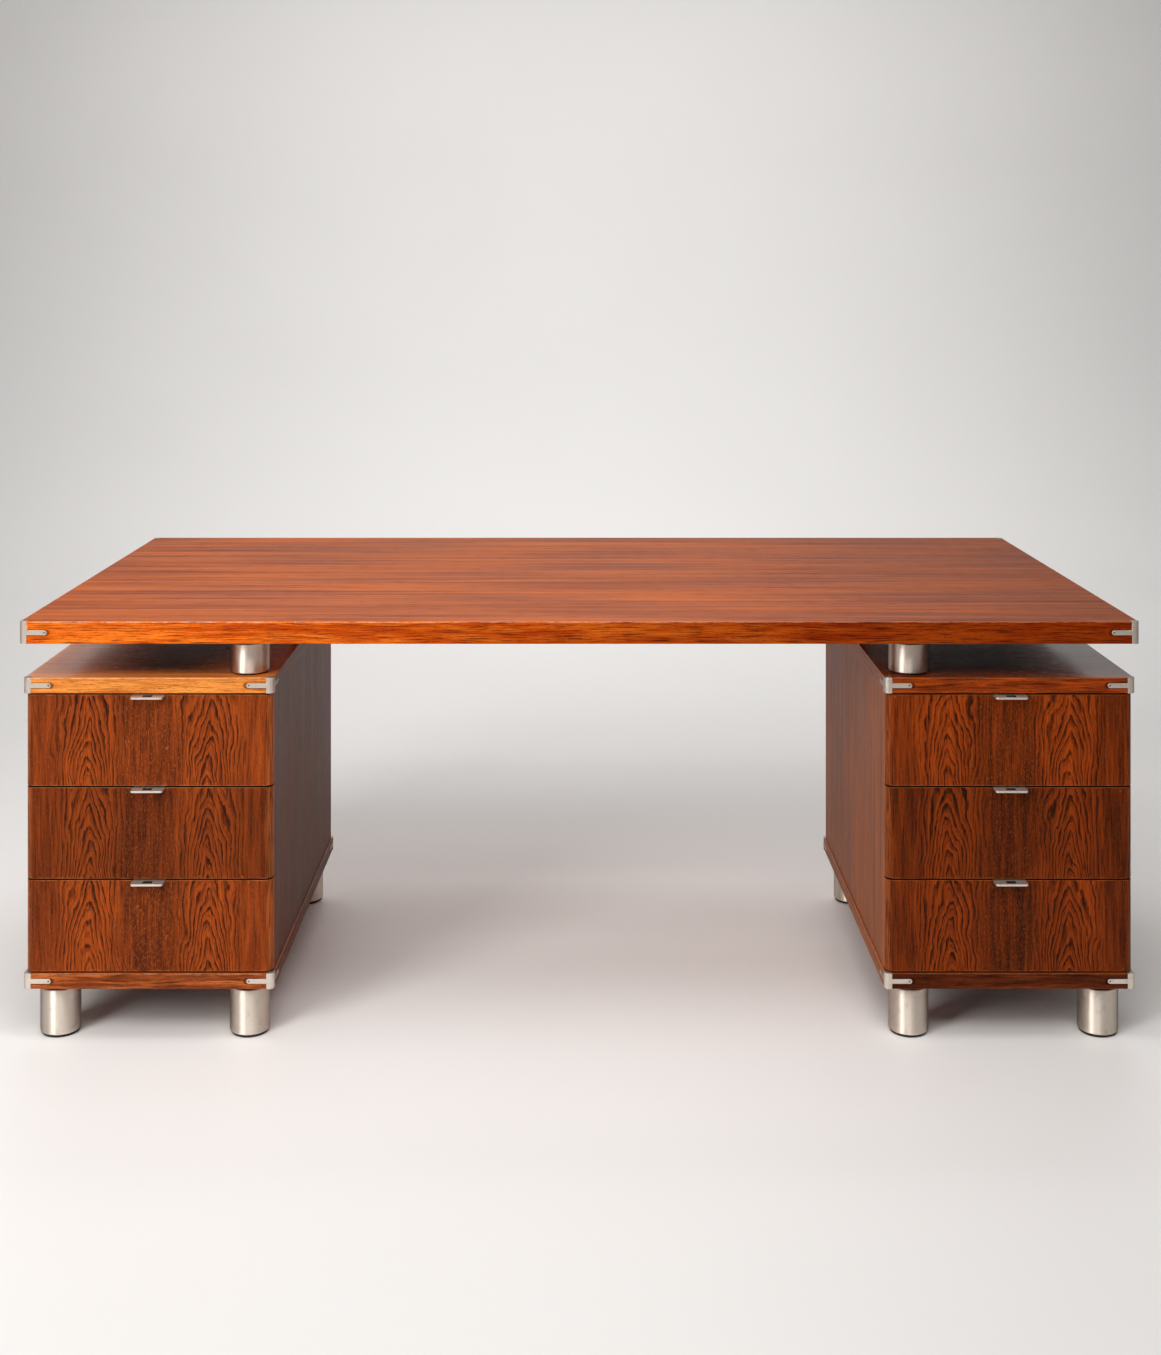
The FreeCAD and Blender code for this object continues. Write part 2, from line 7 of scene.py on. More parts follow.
# %% Load the frame
import json
import math
import bmesh
import bpy
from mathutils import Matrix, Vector

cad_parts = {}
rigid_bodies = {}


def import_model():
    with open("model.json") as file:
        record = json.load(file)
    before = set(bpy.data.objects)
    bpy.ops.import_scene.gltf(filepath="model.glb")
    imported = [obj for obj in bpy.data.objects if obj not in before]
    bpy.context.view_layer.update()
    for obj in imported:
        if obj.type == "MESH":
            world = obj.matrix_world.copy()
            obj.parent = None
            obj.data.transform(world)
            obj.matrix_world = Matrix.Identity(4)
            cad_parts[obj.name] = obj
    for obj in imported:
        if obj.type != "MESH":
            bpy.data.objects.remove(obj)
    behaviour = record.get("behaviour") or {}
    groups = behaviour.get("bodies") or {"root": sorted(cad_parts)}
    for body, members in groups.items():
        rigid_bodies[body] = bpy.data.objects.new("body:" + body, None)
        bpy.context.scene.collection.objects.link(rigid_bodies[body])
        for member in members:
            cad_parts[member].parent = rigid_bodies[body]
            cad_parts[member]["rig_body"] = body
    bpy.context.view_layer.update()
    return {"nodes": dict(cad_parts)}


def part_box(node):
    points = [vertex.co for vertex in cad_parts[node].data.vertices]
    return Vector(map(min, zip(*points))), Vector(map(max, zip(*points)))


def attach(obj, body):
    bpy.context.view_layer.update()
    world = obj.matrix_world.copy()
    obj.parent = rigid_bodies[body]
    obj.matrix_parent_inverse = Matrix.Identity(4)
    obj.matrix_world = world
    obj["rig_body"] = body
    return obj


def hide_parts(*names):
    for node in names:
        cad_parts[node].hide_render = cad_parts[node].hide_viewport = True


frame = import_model()

# %% [markdown]
# ## The camera
# The picture was taken with a level camera, because the upright edges of the desk stay upright in it.
# The lens was shifted down to bring the desk to the middle of the frame, and a shift in Blender does the same.
# A tilted camera would make the legs lean together, so the place, the lens and the shift are set and nothing turns.

# %% Set up the camera
def new_object(name, data):
    """An object that shows some data, put in the scene."""
    made = bpy.data.objects.new(name, data)
    bpy.context.scene.collection.objects.link(made)
    return made


picture_width = 1161
picture_height = 1355
sensor_size = 36.0
focal_length = 1727.7
vanishing_point = (574.8, 278.7)
camera_place = (-0.008, -3.5845, 1.3742)

camera_data = bpy.data.cameras.new("level camera")
camera_data.sensor_fit = "AUTO"
camera_data.sensor_width = sensor_size
camera_data.lens = sensor_size * focal_length / picture_height
camera_data.shift_x = (picture_width / 2 - vanishing_point[0]) / picture_height
camera_data.shift_y = (vanishing_point[1] - picture_height / 2) / picture_height
camera_data.clip_end = 60.0
camera = new_object("level_camera", camera_data)
camera.location = camera_place
camera.rotation_euler = (math.pi / 2, 0.0, 0.0)
bpy.context.scene.camera = camera
print("lens", round(camera_data.lens, 1), "mm, shift", round(camera_data.shift_y, 3))

# %% [markdown]
# ## Shader helpers
# A Blender material is a graph of nodes. Building one in a script is a matter of a few small moves
# made many times: feed a socket, do a sum, sample a noise, mix two colours.
# Each move gets a short function, so that a material below reads like a recipe.

# %% Place nodes and feed them
def feed(tree, value, socket):
    """Links an output to a socket, or sets a plain value on it."""
    if isinstance(value, bpy.types.NodeSocket):
        tree.links.new(value, socket)
    else:
        socket.default_value = value


def node_in_order(tree, kind, values=(), **settings):
    """Places a node, makes its settings and feeds its sockets in order. Gives its outputs."""
    node = tree.nodes.new(kind)
    for name, value in settings.items():
        setattr(node, name, value)
    for value, socket in zip(values, node.inputs):
        feed(tree, value, socket)
    return node.outputs


def node_by_name(tree, kind, **inputs):
    """Places a node and feeds its sockets by name."""
    node = tree.nodes.new(kind)
    for label, value in inputs.items():
        feed(tree, value, node.inputs[label.replace("_", " ")])
    return node


print("node helpers ready")

# %% Do sums
def calc(tree, operation, *values):
    """One Math node."""
    return node_in_order(tree, "ShaderNodeMath", values, operation=operation)[0]


def times(tree, value, factor, plus=None):
    """A product, with something added to it if that is given."""
    if plus is None:
        return calc(tree, "MULTIPLY", value, factor)
    return calc(tree, "MULTIPLY_ADD", value, factor, plus)


def shifted(tree, base, noise, amount):
    """A base moved up and down by a noise, which lies around 0.5."""
    return times(tree, calc(tree, "SUBTRACT", noise, 0.5), amount, base)


def off_centre(tree, value):
    """How far a value lies from 0.5."""
    return calc(tree, "ABSOLUTE", calc(tree, "SUBTRACT", value, 0.5))


def fade(tree, value, start, end, low=0.0, high=1.0):
    """A soft step: low up to start, high from end on."""
    values = (value, start, end, low, high)
    return node_in_order(tree, "ShaderNodeMapRange", values, interpolation_type="SMOOTHSTEP")[0]


print("sum helpers ready")

# %% Work with vectors
def vector_calc(tree, operation, *values):
    """One Vector Math node that gives a vector."""
    return node_in_order(tree, "ShaderNodeVectorMath", values, operation=operation)[0]


def split(tree, vector):
    """The three numbers of a vector."""
    return list(node_in_order(tree, "ShaderNodeSeparateXYZ", [vector]))


def joined(tree, *numbers):
    """A vector from three numbers."""
    return node_in_order(tree, "ShaderNodeCombineXYZ", numbers)[0]


def edge_gaps(tree, board, half):
    """How far a point lies from a board's limits: along, across and through it."""
    return split(tree, vector_calc(tree, "SUBTRACT", half, vector_calc(tree, "ABSOLUTE", board)))


print("vector helpers ready")

# %% Sample noise and mix colours
def speckle(tree, place, scale, detail=2.0, rough=0.5, warp=0.0):
    """A noise value from 0 to 1, around 0.5. Three scales squeeze it differently along each axis."""
    if isinstance(scale, tuple):
        place, scale = vector_calc(tree, "MULTIPLY", place, scale), 1.0
    settings = {"Scale": scale, "Detail": detail, "Roughness": rough, "Distortion": warp}
    return node_by_name(tree, "ShaderNodeTexNoise", Vector=place, **settings).outputs[0]


def tint(tree, share, first, second, mode="MIX"):
    """Two colours mixed by a share from 0 to 1."""
    node = tree.nodes.new("ShaderNodeMix")
    node.data_type = "RGBA"
    node.blend_type = mode
    for value, socket in zip((share, first, second), (node.inputs[0], node.inputs[6], node.inputs[7])):
        feed(tree, value, socket)
    return node.outputs[2]


def over(tree, colour, mask, strength, paint):
    """A colour with paint over it where a mask is bright."""
    return tint(tree, times(tree, mask, strength), colour, paint)


def shade(red, green, blue):
    """A colour as seen on screen, 0 to 255, turned to the linear numbers that a shader takes."""
    linear = [(c / 255) / 12.92 if c <= 10 else ((c / 255 + 0.055) / 1.055) ** 2.4 for c in (red, green, blue)]
    return (*linear, 1.0)


def bumped(tree, height, strength, distance=0.0004):
    """A Bump node over a height."""
    return node_by_name(tree, "ShaderNodeBump", Strength=strength, Distance=distance, Height=height).outputs[0]


print("colour helpers ready")

# %% Start and complete a material
def new_material(name, **settings):
    """A material with its Principled shader set to plain values, and its node tree."""
    material = bpy.data.materials.new(name)
    material.use_nodes = True
    shader = material.node_tree.nodes["Principled BSDF"]
    for socket, value in settings.items():
        shader.inputs[socket.replace("_", " ")].default_value = value
    return material, material.node_tree


def complete(tree, colour, gloss, normal=None):
    """Feeds the shader what varies over a surface: its colour, its roughness and its relief."""
    shader = tree.nodes["Principled BSDF"]
    feed(tree, colour, shader.inputs["Base Color"])
    feed(tree, gloss, shader.inputs["Roughness"])
    if normal is not None:
        feed(tree, normal, shader.inputs["Normal"])


def object_place(tree):
    """Where a point lies in the desk's own axes."""
    return node_in_order(tree, "ShaderNodeTexCoord")["Object"]


def attribute(tree, name, output):
    """What the mesh stores under a name: Vector or Fac."""
    return node_in_order(tree, "ShaderNodeAttribute", attribute_name=name)[output]


print("material helpers ready")

# %% Start and use a node group
def new_group(name, inputs, outputs):
    """An empty shader group with named sockets. An input with no value is a vector."""
    tree = bpy.data.node_groups.new(name, "ShaderNodeTree")
    for label, value in inputs.items():
        kind = "NodeSocketVector" if value is None else "NodeSocketFloat"
        socket = tree.interface.new_socket(label, in_out="INPUT", socket_type=kind)
        if value is not None:
            socket.default_value = value
    for label in outputs:
        tree.interface.new_socket(label, in_out="OUTPUT", socket_type="NodeSocketFloat")
    return tree, tree.nodes.new("NodeGroupInput").outputs, tree.nodes.new("NodeGroupOutput").inputs


def group_of(tree, result, **outputs):
    """Feeds a group's outputs by name and hands the group over."""
    for label, value in outputs.items():
        feed(tree, value, result[label])
    print("group", tree.name, "gives", list(outputs))
    return tree


def use_group(tree, group, **values):
    """Places a group in a material and gives its outputs by name."""
    node = tree.nodes.new("ShaderNodeGroup")
    node.node_tree = group
    for label, value in values.items():
        feed(tree, value, node.inputs[label])
    return node.outputs


print("group helpers ready")

# %% [markdown]
# ## The studio
# The desk stands on a pale seamless sweep: a floor that curves up into a wall with no corner to see.
# A flat plane would end in a hard line behind the desk, so this is one sheet, drawn as a profile
# from front to back and pulled sideways.
# Its paint has a faint gloss, because the legs leave a soft reflection on the floor. Its tone changes slowly
# from front to back, and that is painted light and shade: darker far in front, brighter near the desk, darker
# behind it and plain again up the wall, so that the floor looks even although the lamps light it unevenly.

# %% Build the sweep
sweep_half_width = 7.0
sweep_front = -8.0
sweep_wall = 6.2
sweep_top = 8.0
sweep_radius = 2.4
bend_start = sweep_wall - sweep_radius
bend_steps = 24
sweep_profile = [(y, 0.0) for y in (sweep_front, -2.0, 0.0, bend_start)]
for step in range(1, bend_steps + 1):
    angle = step / bend_steps * math.pi / 2
    sweep_profile.append((bend_start + sweep_radius * math.sin(angle), sweep_radius * (1 - math.cos(angle))))
sweep_profile.append((sweep_wall, sweep_top))

sweep_points = [(side * sweep_half_width, y, z) for side in (-1, 1) for y, z in sweep_profile]
row = len(sweep_profile)
sweep_faces = [(n, n + row, n + row + 1, n + 1) for n in range(row - 1)]
sweep_mesh = bpy.data.meshes.new("sweep")
sweep_mesh.from_pydata(sweep_points, [], sweep_faces)
sweep_mesh.shade_smooth()
sweep = new_object("sweep", sweep_mesh)
print("sweep with", len(sweep_faces), "strips")

# %% Paint the sweep
sweep_paint_and_light, tree = new_material("sweep paint with painted light", Specular_IOR_Level=0.10)
floor_place = object_place(tree)
floor_y = split(tree, floor_place)[1]
floor_paint_and_light = tint(tree, speckle(tree, floor_place, 1.3, 3.0), shade(231, 230, 229), shade(236, 235, 234))
# The tone steps are painted light and shade: darker far in front, brighter near the desk, darker behind it, plain
# again up the wall.
painted_light_steps = ((-1.45, -0.70, 0.90, 1.08), (0.2, 1.8, 1.0, 0.83), (2.6, 4.8, 1.0, 1.126))
for start, end, near_painted_light, far_painted_light in painted_light_steps:
    tone = fade(tree, floor_y, start, end, near_painted_light, far_painted_light)
    floor_paint_and_light = vector_calc(tree, "MULTIPLY", floor_paint_and_light, joined(tree, tone, tone, tone))
complete(tree, floor_paint_and_light, fade(tree, speckle(tree, floor_place, 40.0), 0.2, 0.8, 0.36, 0.44))
sweep_mesh.materials.append(sweep_paint_and_light)
print("sweep painted in", len(painted_light_steps) + 1, "tones")

# %% [markdown]
# ## The light
# The key light stands at the left in front, since the left ends of the boards are brighter and the shadows
# fall to the right. A second softbox fills the fronts from above the camera, a strip hangs over the front of the top,
# one softbox lights the top and the floor from the rear, and a wash brightens the wall.
# Area lights are used because a softbox is a glowing rectangle, and its size is what softens the shadows.

# %% Hang the lights
def softbox(name, place, aim, width, height, power, warmth, spread=180.0):
    """A glowing rectangle that faces a point."""
    data = bpy.data.lights.new(name, "AREA")
    data.shape = "RECTANGLE"
    data.size = width
    data.size_y = height
    data.energy = power
    data.spread = math.radians(spread)
    data.color = warmth
    lamp = new_object(name, data)
    lamp.location = place
    lamp.rotation_euler = (Vector(aim) - Vector(place)).to_track_quat("-Z", "Y").to_euler()


# Each row: place, aim, width, height, power, warmth and, for a narrowed light, its spread.
soft_white = (1.0, 0.985, 0.97)
softbox("key_softbox", (-2.6, -3.3, 2.1), (-0.3, 0.0, 0.40), 1.3, 1.5, 89.0, (1.0, 0.98, 0.95))
softbox("front_softbox", (-0.3, -3.4, 3.7), (-0.1, -0.2, 0.2), 3.0, 1.4, 31.0, soft_white, 110.0)
softbox("overhead_strip", (-0.2, -1.1, 2.6), (-0.1, -0.9, 0.0), 2.8, 0.5, 28.0, soft_white)
softbox("rear_softbox", (0.0, 1.9, 3.5), (0.0, 0.7, 0.0), 4.4, 1.8, 59.0, soft_white)
softbox("wall_wash", (0.0, 2.9, 3.3), (0.0, 5.7, 0.6), 5.6, 0.8, 102.0, (1.0, 0.985, 0.975))

room = bpy.data.worlds.new("pale room")
room.use_nodes = True
room_light = room.node_tree.nodes["Background"].inputs
room_light["Color"].default_value = (*soft_white, 1.0)
room_light["Strength"].default_value = 0.12
bpy.context.scene.world = room
bpy.context.scene.view_settings.view_transform = "Standard"

# %% [markdown]
# ## Finishing a piece of the frame
# A frame piece has crisp machine edges. Sanding takes the sharpness off every real edge, and that thin
# rounded line is what catches light. So each piece is copied, its loose triangles are merged into
# flat faces, and its sharp edges get a small bevel. A Bevel modifier could do it too, but it would also round
# the inward corners, and here only the outward edges are picked.
# A board also stores three things for its wood: where a point lies along, across and through the board,
# half the board's size, and a number of its own so that no two boards share one pattern.
# A UV map could carry a pattern too, but a board shows its grain on all six sides, and stored places need no seams.

# %% Copy a piece and ease its edges
def copied_shape(node):
    """A frame piece as a bmesh of merged, flat faces. The face list runs solid by solid, and a solid is whole
    once every edge has met its second face, so solids that touch stay apart."""
    mesh = frame["nodes"][node].data
    places = [tuple(round(c, 6) for c in point.co) for point in mesh.vertices]
    shape = bmesh.new()
    corners = {}
    open_edges = set()
    for face in mesh.polygons:
        ring = [places[number] for number in face.vertices]
        for place in ring:
            if place not in corners:
                corners[place] = shape.verts.new(place)
        shape.faces.new([corners[place] for place in ring])
        for first, second in zip(ring, ring[1:] + ring[:1]):
            open_edges ^= {frozenset((first, second))}
        if not open_edges:
            corners = {}
    bmesh.ops.dissolve_limit(shape, angle_limit=math.radians(0.6), verts=shape.verts[:], edges=shape.edges[:])
    return shape


def ease_edges(shape, ease, sharpest=35.0):
    """Bevels the outward edges that are sharper than an angle."""
    limit = math.radians(sharpest)
    sharp = [e for e in shape.edges if len(e.link_faces) == 2 and e.calc_face_angle_signed(0.0) > limit]
    bmesh.ops.bevel(
        shape, geom=sharp, offset=ease, offset_type="OFFSET", segments=2, profile=0.5, affect="EDGES",
        clamp_overlap=True,
    )


print("edge helpers ready")

# %% Tell solids apart
def solids_of(shape):
    """The separate solids in a bmesh, as lists of points."""
    left = set(shape.verts)
    solids = []
    while left:
        first = left.pop()
        solid, edge = [first], [first]
        while edge:
            for link in edge.pop().link_edges:
                for point in link.verts:
                    if point in left:
                        left.remove(point)
                        solid.append(point)
                        edge.append(point)
        solids.append(solid)
    return sorted(solids, key=lambda points: tuple(round(c, 4) for c in span(points)[0]))


def span(points):
    """Lowest and highest corner of some points."""
    low = Vector([min(p.co[axis] for p in points) for axis in range(3)])
    high = Vector([max(p.co[axis] for p in points) for axis in range(3)])
    return low, high


print("solid helpers ready")

# %% Store what the wood follows
facing_up = 0.8
first_strip = 0.5
strip_step = 0.37
seed_limit = 7.0


def board_frame(low, high, grain):
    """The middle, half size and axis order of a board. Grain is the axis it runs along, or None for the longest."""
    size = high - low
    along = grain if grain is not None else max(range(3), key=lambda axis: size[axis])
    through = min((axis for axis in range(3) if axis != along), key=lambda axis: size[axis])
    order = (along, 3 - along - through, through)
    return (low + high) / 2, [size[axis] / 2 for axis in order], order


def store_boards(shape, grain, seed, whole=None, veneered=False):
    """Writes board, half and seed on every face corner. A whole box makes all solids one board.
    Veneered keeps the whole box for faces that look up or down, and lets each strip be its own board elsewhere."""
    board = shape.loops.layers.float_vector.new("board")
    half = shape.loops.layers.float_vector.new("half")
    own = shape.loops.layers.float.new("seed")
    for number, solid in enumerate(solids_of(shape)):
        strip = board_frame(*span(solid), None if veneered else grain)
        sheet = board_frame(*whole, grain) if whole else strip
        for face in {face for point in solid for face in point.link_faces}:
            on_sheet = whole and (not veneered or abs(face.normal.z) > facing_up)
            middle, halves, order = sheet if on_sheet else strip
            face.material_index = 1 if on_sheet and veneered else 0
            for corner in face.loops:
                away = corner.vert.co - middle
                corner[board] = [away[axis] for axis in order]
                corner[half] = halves
                corner[own] = seed if on_sheet else (seed + first_strip + number * strip_step) % seed_limit


print("board helpers ready")

# %% Make a plain mesh of a piece
def settle(piece):
    """Turns what a piece's modifiers show into its own plain mesh."""
    first = piece.data
    plain = bpy.data.meshes.new_from_object(piece.evaluated_get(bpy.context.evaluated_depsgraph_get()))
    piece.modifiers.clear()
    piece.data = plain
    plain.name = piece.name
    bpy.data.meshes.remove(first)


def plain_piece(name, shape, materials, smooth=48.0):
    """A mesh object from a bmesh, smooth over its eased edges and flat on its faces."""
    mesh = bpy.data.meshes.new(name)
    for material in materials:
        mesh.materials.append(material)
    shape.to_mesh(mesh)
    shape.free()
    mesh.shade_smooth()
    mesh.set_sharp_from_angle(angle=math.radians(smooth))
    piece = new_object(name, mesh)
    weighted = piece.modifiers.new("flat faces stay flat", "WEIGHTED_NORMAL")
    weighted.keep_sharp = True
    settle(piece)
    return piece


print("mesh helpers ready")

# %% Dress a node
finished_pieces = []


def dress(node, finish, slot, ease, grain=None, seed=0.0, solids=None, whole=None, veneer_over=None):
    """Finishes one frame piece: copy, bevel, store, and let it stand for its node."""
    shape = copied_shape(node)
    if solids is not None:
        unwanted = [p for solid in solids_of(shape) if not solids(span(solid)) for p in solid]
        bmesh.ops.delete(shape, geom=unwanted, context="VERTS")
    if ease:
        ease_edges(shape, ease)
    shape.normal_update()
    store_boards(shape, grain, seed, whole, veneer_over is not None)
    piece = plain_piece("dressed_" + node, shape, [finish] + ([veneer_over] if veneer_over else []))
    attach(piece, frame["nodes"][node]["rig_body"])
    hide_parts(node)
    finished_pieces.append(piece)
    return piece


print("ready to dress", len(frame["nodes"]), "nodes")

# %% [markdown]
# ## Grain that every board shares
# All the boards are one open-grained timber, so one node group makes the parts of its grain:
# long streaks, fine lines between them, short open pores and slow clouds of colour.
# A picture of wood would do for one board and repeat on the next, so the group stretches noise along the board.
# It reads the stored place, so the grain turns with each board.

# %% Grain group
tree, given, result = new_group(
    "board grain", {"Place": None, "Seed": 0.0, "Run": 0.5, "Width": 0.02}, ("Streak", "Line", "Pore", "Cloud")
)
along, across, through = split(tree, given["Place"])
own_shift = times(tree, given["Seed"], 13.7)
across = shifted(tree, across, speckle(tree, given["Place"], (3.0, 9.0, 9.0)), 0.012)
stretched = joined(
    tree,
    calc(tree, "ADD", calc(tree, "DIVIDE", along, given["Run"]), own_shift),
    calc(tree, "ADD", calc(tree, "DIVIDE", across, given["Width"]), own_shift),
    calc(tree, "DIVIDE", through, given["Width"]),
)
own_place = vector_calc(tree, "ADD", given["Place"], joined(tree, own_shift, own_shift, 0.0))
grain_group = group_of(
    tree, result,
    Streak=speckle(tree, stretched, 1.0, 3.0, 0.6, 0.2),
    Line=speckle(tree, stretched, (2.0, 6.0, 6.0), 2.0, 0.6),
    Pore=fade(tree, speckle(tree, stretched, (14.0, 16.0, 16.0), 1.0), 0.60, 0.70),
    Cloud=speckle(tree, own_place, (2.2, 9.0, 9.0)),
)

# %% [markdown]
# ## Wear along the edges
# Stain rubs off first where hands and cloths pass, so the edges of a used desk show a thin paler line,
# broken by little nicks. Pointiness could find the edges, but it depends on how finely a mesh is cut.
# A point is close to an edge when it is near the limit of the board in two directions at once,
# so the group takes the three distances to the limits and looks at the middle one.

# %% Edge wear group
tree, given, result = new_group(
    "edge wear", {"Board": None, "Half": None, "Seed": 0.0, "Reach": 0.0025}, ("Wear", "Nick")
)
gap_a, gap_b, gap_c = edge_gaps(tree, given["Board"], given["Half"])
low_pair = calc(tree, "MINIMUM", gap_a, gap_b)
high_pair = calc(tree, "MAXIMUM", gap_a, gap_b)
middle_gap = calc(tree, "MAXIMUM", low_pair, calc(tree, "MINIMUM", high_pair, gap_c))
seeded = vector_calc(tree, "ADD", given["Board"], joined(tree, given["Seed"], given["Seed"], 0.0))
broken = speckle(tree, seeded, 60.0, 3.0, 0.7)
reach = times(tree, given["Reach"], fade(tree, broken, 0.3, 0.75, 0.35, 1.6))
nick_spot = fade(tree, speckle(tree, seeded, 170.0, 1.0), 0.70, 0.76)
nick_zone = fade(tree, middle_gap, 0.0, 0.012, 1.0, 0.0)
wear_group = group_of(
    tree, result, Wear=fade(tree, middle_gap, 0.0, reach, 1.0, 0.0), Nick=times(tree, nick_spot, nick_zone)
)

# %% [markdown]
# ## Cathedral figure
# A board sawn flat through a log shows nested arches, called cathedrals, where the growth rings
# are cut at a slant. Every drawer front has two rows of them, a quarter in from each end.
# The Wave texture gives only straight bands or circles, so the wave is worked out here: its phase grows with height
# and with distance from the middle of its row, and lines of equal phase are pointed arches.
# Noise shakes the phase and makes lines bold or weak, and a thin line lies between two bold ones.
# Between the rows lies a zone of short curly flecks.

# %% Cathedral rings
rings_up = 31.0
rings_out = 120.0
blunt_tip = 0.00003
shaken_by = 2.6
ragged_by = 0.36
tree, given, result = new_group(
    "cathedral figure", {"Place": None, "Seed": 0.0, "Row": 0.108}, ("Ring", "Zone", "Fleck", "Middle")
)
along, across, through = split(tree, given["Place"])
own_shift = times(tree, given["Seed"], 3.3)
seeded = vector_calc(tree, "ADD", given["Place"], joined(tree, own_shift, own_shift, own_shift))
row_centre = shifted(tree, given["Row"], speckle(tree, seeded, (11.0, 16.0, 1.0)), 0.03)
from_middle = calc(tree, "ABSOLUTE", across)
aside = calc(tree, "SUBTRACT", from_middle, row_centre)
spread_out = calc(tree, "SQRT", times(tree, aside, aside, blunt_tip))
arch = fade(tree, spread_out, 0.008, 0.052, 1.0, 0.03)
shake = speckle(tree, seeded, (12.0, 27.0, 1.0), 3.0)
ragged = speckle(tree, seeded, (60.0, 420.0, 1.0))
phase = times(tree, spread_out, rings_out, times(tree, times(tree, along, rings_up), arch))
phase = times(tree, shake, shaken_by, phase)
phase = times(tree, ragged, ragged_by, phase)
phase = calc(tree, "ADD", phase, own_shift)
print("cathedral phase from", len(tree.nodes), "nodes")

# %% Cathedral lines and flecks
curls_across = 340.0
curled_by = 7.0
turn = calc(tree, "FRACT", phase)
bold = speckle(tree, seeded, (26.0, 80.0, 1.0))
rise = fade(tree, turn, fade(tree, bold, 0.42, 0.62, 0.54, 0.16), 0.80)
fall = fade(tree, turn, 0.87, 0.97, 1.0, 0.0)
between = calc(tree, "FRACT", times(tree, phase, 2.0, 0.75))
thin = fade(tree, off_centre(tree, between), 0.05, 0.22, 0.45, 0.0)
curl = speckle(tree, seeded, (62.0, 62.0, 1.0), 1.0)
curl_turn = calc(tree, "FRACT", times(tree, curl, curled_by, times(tree, across, curls_across)))
curl_line = fade(tree, off_centre(tree, curl_turn), 0.03, 0.26, 1.0, 0.0)
curl_part = fade(tree, speckle(tree, seeded, (170.0, 240.0, 1.0), 2.0, 0.6), 0.42, 0.66)
figure_group = group_of(
    tree, result,
    Ring=calc(tree, "MAXIMUM", times(tree, rise, fall), thin),
    Zone=fade(tree, spread_out, 0.030, 0.080, 1.0, 0.0),
    Fleck=times(tree, curl_line, curl_part),
    Middle=fade(tree, shifted(tree, from_middle, shake, 0.09), 0.010, 0.095, 1.0, 0.0),
)

# %% [markdown]
# ## Veneer for flat boards
# The top, the slabs and the sides are veneered: a thin slice of wood under satin lacquer.
# Each could have a material drawn up by itself, but they differ only in colours, grain size and gloss,
# so one recipe makes them all. It mixes a light and a dark tone by the streaks, lets clouds shift the tone,
# darkens pores and lightens the worn edges, which on the top's front edge also carry a painted highlight.
# The top turns darker towards the right: painted shade, away from the key light at the left. A slab that lies
# under the top is darker in its middle than along its open margins: painted shade where the top covers it.

# %% What every wood starts from
def wood(tree, run, width, reach):
    """What every wood starts from: the board's stored values, its grain and its worn edges."""
    board, half = attribute(tree, "board", "Vector"), attribute(tree, "half", "Vector")
    seed = attribute(tree, "seed", "Fac")
    grain = use_group(tree, grain_group, Place=board, Seed=seed, Run=run, Width=width)
    edge = use_group(tree, wear_group, Board=board, Half=half, Seed=seed, Reach=reach)
    return board, half, seed, grain, edge


print("wood helper ready")

# %% Veneer recipe
lacquer = {"Coat_Roughness": 0.22, "Coat_IOR": 1.45}
pore_share = 0.30
# The pale edge colour is wear, and on the top's front edge also a painted highlight where the rounded edge catches the
# light.
worn_and_highlight_share = 1.7


def veneer(
    name, pale, deep, run, width, contrast=1.0, rough=0.40, coat=0.02, pore=0.5, gloss_level=0.08,
    right_painted_shade=None, shelter_painted_shade=None, depth=0.30,
):
    """A lacquered veneer. Pale and deep are the two ends of its streaks, as screen colours."""
    pale, deep = shade(*pale), shade(*deep)
    material, tree = new_material(name, Specular_IOR_Level=gloss_level, Coat_Weight=coat, **lacquer)
    board, half, seed, grain, edge = wood(tree, run, width, reach=0.0025)
    tone = shifted(tree, grain["Streak"], grain["Line"], 0.55 * contrast)
    tone = shifted(tree, tone, grain["Cloud"], 0.5)
    reach = 0.28 / contrast
    colour = tint(tree, fade(tree, tone, 0.5 - reach, 0.5 + reach), deep, pale)
    # Painted shade: the top darkens towards the right, away from the key light at the left.
    if right_painted_shade:
        desk_x = split(tree, object_place(tree))[0]
        colour = tint(tree, fade(tree, desk_x, 0.1, 1.0), colour, right_painted_shade, "MULTIPLY")
    # Painted shade: a slab under the top is darkened in its middle, where the top shades it, and stays lighter along
    # its open margins.
    if shelter_painted_shade:
        end_gap, front_gap, _ = edge_gaps(tree, board, half)
        margin = calc(tree, "MINIMUM", times(tree, end_gap, 0.45), front_gap)
        colour = tint(tree, fade(tree, margin, 0.012, 0.10), colour, shelter_painted_shade, "MULTIPLY")
    dark = (*[channel * pore_share for channel in deep[:3]], 1.0)
    # Worn edges, which along the top's front edge also stand for a painted highlight.
    worn_and_highlight = (*[min(channel * worn_and_highlight_share, 1.0) for channel in pale[:3]], 1.0)
    colour = over(tree, colour, grain["Pore"], pore, dark)
    colour = over(tree, colour, edge["Wear"], 0.62, worn_and_highlight)
    colour = over(tree, colour, edge["Nick"], 0.5, worn_and_highlight)
    gloss = times(tree, grain["Pore"], 0.18, times(tree, grain["Cloud"], 0.14, rough - 0.07))
    relief = times(tree, grain["Pore"], -0.8, times(tree, grain["Line"], 0.35))
    complete(tree, colour, gloss, bumped(tree, relief, depth))
    return material


print("veneer recipe ready")

